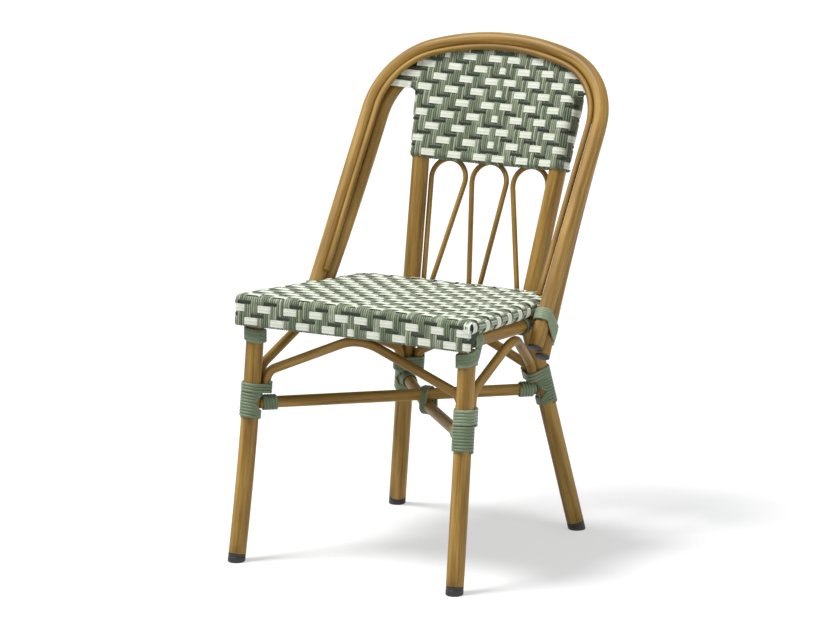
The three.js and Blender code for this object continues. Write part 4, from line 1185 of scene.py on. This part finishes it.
def winding(base, circles, turns, loose=0.3, pitch=WINDING_PITCH, push=None):
    """The centre line of a strand that is wound round a bundle, with the way out at each point."""
    centre, axis, across, behind = base
    corners = winding_corners(circles, loose + STRAND)
    path, normals = [], []
    for index in range(round(turns * len(corners)) + 1):
        x, y, angle = corners[index % len(corners)]
        height = (index // len(corners) + angle / TURN) * pitch
        wander = noise.noise(Vector((index * 0.11, centre.x, centre.z))) * 0.35
        if push:
            height = push(height, atan2(y, x))
        out = across * cos(angle) + behind * sin(angle)
        path.append(centre + axis * (height + wander) + across * x + behind * y)
        normals.append(out)
    return path, normals


def tuck(path, normals):
    """Both ends of a strand dive towards what it is wound round."""
    first = path[0] + (path[0] - path[1]).normalized() * 5 - normals[0] * 2.5
    last = path[-1] + (path[-1] - path[-2]).normalized() * 5 - normals[-1] * 2.5
    return [first] + path + [last], [normals[0]] + normals + [normals[-1]]


def binding_piece(name, windings, node, side=1):
    pile = Pile()
    section = round_section(STRAND_WIDE, 8, STRAND / STRAND_WIDE)
    for wound in windings:
        path, normals = (mirrored(part, side) for part in tuck(*wound))
        pile.sweep(path, section, normals, seed=draw.uniform(0, 9000), tone=draw.uniform(0.35, 0.65))
    pile.finish(name, binding_look, "strand", node)


def lifted(base, along):
    return (base[0] + base[1] * along,) + tuple(base[1:])


def foot_circle(angle):
    reach = LEG + ARCH + 0.5
    return (reach * cos(angle), reach * sin(angle), ARCH)


def tube_base(start, end, distance):
    axis = (end - start).normalized()
    behind = (vec(0, 0, 1) - axis * axis.z).normalized()
    return start + axis * distance, axis, behind.cross(axis), behind


BINDING_TOP = {"front": 304, "rear": 292}
STRETCHER_ENDS = {
    ("front", -1): (upper_front, upper_rear), ("rear", 1): (upper_rear, upper_front),
    ("front", 1): (lower_front, lower_middle), ("rear", -1): (lower_rear, lower_middle),
}


def leg_binding(end, side, word):
    """Turns round a leg and the feet of its arches, and turns above and below its stretcher."""
    base = LEG_BASE[end]
    stretcher_z = STRETCHER_Z[end, side]
    upper = along_to(base, stretcher_z + FOOT_LIFT[end])
    turns = (along_to(base, BINDING_TOP[end]) - upper) / WINDING_PITCH
    circles = [LEG_CIRCLE] + [foot_circle(angle) for angle in ARCH_ANGLES[end]]
    bundle = winding(lifted(base, upper), circles, turns)
    start, other = STRETCHER_ENDS[end, side]
    heading = flipped(other - start, side)
    stretcher_angle = atan2(heading.dot(base[3]), heading.dot(base[2]))
    reach, room = 24, 12.8
    low = along_to(base, stretcher_z - reach)
    high = along_to(base, stretcher_z + FOOT_LIFT[end] + 2)
    centre = along_to(base, stretcher_z) - low

    def push(height, angle):
        """The turns part where the stretcher meets the leg."""
        off = height - centre
        swing = abs((angle - stretcher_angle + pi) % TURN - pi)
        share = max(0.0, min(1.0, (1.5 - swing) / 0.8))
        share = share * share * (3 - 2 * share)
        if abs(off) < reach:
            pushed = room + abs(off) * (reach - room) / reach
            off = copysign(mix(abs(off), max(pushed, abs(off)), share), off)
        return centre + off

    lower = winding(lifted(base, low), [LEG_CIRCLE], (high - low) / WINDING_PITCH, push=push)
    binding_piece(f"wrap_{end}_leg_{word}", [bundle, lower], f"{end}_leg_binding_{word}", side)


def flowing(corners, steps=6):
    """A smooth path through corners."""
    ends = [corners[0] * 2 - corners[1]] + corners + [corners[-1] * 2 - corners[-2]]
    path = []
    for a, b, c, d in zip(ends, ends[1:], ends[2:], ends[3:]):
        for k in range(steps):
            t = k / steps
            curve = b * 2 + (c - a) * t + (a * 2 - b * 5 + c * 4 - d) * t * t
            path.append((curve + (b * 3 - a - c * 3 + d) * t**3) / 2)
    return path + [corners[-1]]


def corner_lashing():
    """Strands from the rail's front end, over its outer side, to the head of the leg."""
    windings = []
    leg = front_leg_point(390)
    reach = RAIL + STRAND + 0.5
    for k in range(8):
        y = 60 + 3.3 * k
        rail = under_seat(side_rail_x(y), y, SIDE_RAIL_DEPTH)
        low = 400 - 2.6 * k
        around = LEG + STRAND + 0.5 + 0.35 * (k % 2)
        over_rail = [
            (-7, 0, reach * 0.92), (3, 0, reach), (reach * 0.72, 0.3, reach * 0.72),
            (reach, 0, 0), (reach * 0.9, -1 - k * 0.5, -8 - k * 0.3),
        ]
        round_leg = [
            (around, 3, 3), (around * 0.75, -around * 0.72, -2.5), (0, -around - 0.6, -5),
            (-around * 0.76, -around * 0.7, -7), (-around, 3, -8),
        ]
        corners = [rail + vec(*spot) for spot in over_rail]
        path = flowing(corners + [vec(leg.x + x, leg.y + y, low + z) for x, y, z in round_leg])
        normals = []
        for point in path:
            if point.z > rail.z - 10 and point.y > leg.y + 1:
                normals.append(vec(point.x - rail.x, 0, point.z - rail.z).normalized())
            else:
                normals.append(vec(point.x - leg.x, point.y - leg.y, 0).normalized())
        windings.append((path, normals))
    return windings


def hoop_lashing():
    """Turns round both hoops that fan out and fall towards the rear hoop."""
    hoop_axis = on_hoop_plane(0, 1, 0) - on_hoop_plane(0, 0, 0)
    hoop_behind = hoop_axis.cross(vec(1, 0, 0))
    offset = rear_hoop_leg_point(-52) - on_hoop_plane(HOOP_HALF_WIDTH, -52, 0)
    pair = [(0, 0, HOOP), (offset.x, offset.dot(hoop_behind), HOOP)]
    base = (on_hoop_plane(HOOP_HALF_WIDTH, -66, 0), hoop_axis, vec(1, 0, 0), hoop_behind)
    middle = 15

    def push(height, angle):
        share = max(0.0, cos(angle - radians(60))) ** 1.3
        return middle + (height - middle) * mix(0.62, 1.0, share) + 8 - 20 * share

    return winding(base, pair, 6, loose=0.9, pitch=5.0, push=push)


for side, word in SIDES:
    leg_binding("front", side, word)
    leg_binding("rear", side, word)
    top_turns = winding(leg_frame(front_leg_point, 379), [LEG_CIRCLE], 3)
    binding_piece(f"wrap_leg_top_{word}", [top_turns], f"leg_top_binding_{word}", side)
    binding_piece(f"wrap_rail_{word}", corner_lashing(), f"rail_binding_{word}", side)
    rail_start, rail_end = (under_seat(side_rail_x(y), y, SIDE_RAIL_DEPTH) for y in (254, RAIL_REAR_Y))
    rail_turns = winding(tube_base(rail_start, rail_end, 0), [(0, 0, RAIL)], 2)
    binding_piece(f"wrap_hoops_{word}", [hoop_lashing(), rail_turns], f"hoop_binding_{word}", side)

for (end, side), (start, other) in STRETCHER_ENDS.items():
    word = f"{end}_{'right' if side > 0 else 'left'}"
    turns = winding(tube_base(start, other, 19), [(0, 0, STRETCHER)], 5)
    binding_piece(f"wrap_stretcher_{word}", [turns], f"stretcher_binding_{word}")

cross_height = crossing.z - lower_middle.z
cross_circles = [(x, y, STRETCHER) for x in (-3.5, 3.5) for y in (0, cross_height)]
cross_base = (lower_middle - vec(8, 0, 0), vec(1, 0, 0), vec(0, 1, 0), vec(0, 0, 1))
binding_piece("wrap_crossing", [winding(cross_base, cross_circles, 3, loose=0.8)], "crossing_binding")


# Floor, light and camera

def world_light(strength):
    """Light from all round; the camera and the reflections see plain white."""
    world = bpy.data.worlds.new("studio")
    bpy.context.scene.world = world
    world.use_nodes = True
    tree = world.node_tree
    tree.nodes.clear()

    def larger(a, b):
        return new_node(tree, "ShaderNodeMath", {0: a, 1: b}, operation="MAXIMUM").outputs[0]

    def shade(tint, power):
        return new_node(tree, "ShaderNodeBackground", {"Color": tint, "Strength": power}).outputs[0]

    rays = new_node(tree, "ShaderNodeLightPath").outputs
    seen = larger(rays["Is Camera Ray"], larger(rays["Is Glossy Ray"], rays["Is Transmission Ray"]))
    inputs = {0: seen, 1: shade((0.96, 0.98, 1.0, 1), strength), 2: shade((1, 1, 1, 1), 1)}
    new_node(tree, "ShaderNodeOutputWorld", {0: new_node(tree, "ShaderNodeMixShader", inputs).outputs[0]})


def floor(size, glow):
    """A floor that glows a little for the camera, so that it is white away from the shadow."""
    mesh = bpy.data.meshes.new("floor")
    corners = [(x * size, y * size, 0) for x, y in ((-1, -1), (1, -1), (1, 1), (-1, 1))]
    mesh.from_pydata(corners, [], [(0, 1, 2, 3)])
    nodes = Nodes("floor", 0.9, 0)
    nodes.sockets["Base Color"].default_value = (0.5, 0.5, 0.5, 1)
    rays = nodes.add("ShaderNodeLightPath").outputs
    seen = nodes.maths("MAXIMUM", rays["Is Camera Ray"], rays["Is Glossy Ray"])
    inputs = {"Color": (1, 1, 1, 1), "Strength": nodes.maths("MULTIPLY", seen, glow)}
    own_light = nodes.add("ShaderNodeEmission", inputs).outputs[0]
    surface = nodes.tree.nodes["Principled BSDF"].outputs[0]
    both = nodes.add("ShaderNodeAddShader", {0: surface, 1: own_light}).outputs[0]
    nodes.tree.links.new(both, nodes.tree.nodes["Material Output"].inputs[0])
    mesh.materials.append(nodes.material)
    new_object("floor", mesh)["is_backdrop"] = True


def light(name, kind, spot, target, **settings):
    data = bpy.data.lights.new(name, kind)
    for key, value in settings.items():
        setattr(data, key, value)
    piece = new_object(name, data)
    piece.location = spot
    piece.rotation_euler = (Vector(spot) - Vector(target)).to_track_quat("Z", "Y").to_euler()


def camera(spot, azimuth, elevation, lens):
    data = bpy.data.cameras.new("camera")
    data.sensor_width = 36
    data.lens = lens
    data.clip_end = 100
    piece = new_object("camera", data)
    level = cos(elevation)
    back = vec(sin(azimuth) * level, -cos(azimuth) * level, sin(elevation))
    piece.location = place(spot)
    piece.rotation_euler = back.to_track_quat("Z", "Y").to_euler()
    bpy.context.scene.camera = piece


bpy.context.scene.view_settings.view_transform = "Standard"
world_light(strength=0.37)
floor(size=30, glow=0.48)
light("sun", "SUN", (-1.35, -1.2, 3.7), (0, 0, 0), energy=3.45, angle=radians(20))
light("fill", "AREA", (3.6, -0.7, 1.3), (0, 0, 0.5), shape="DISK", size=2.0, energy=24)
camera(vec(3776.9, -6220.9, 1967.6), radians(30.26), radians(11.79), 192.86)

low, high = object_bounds()
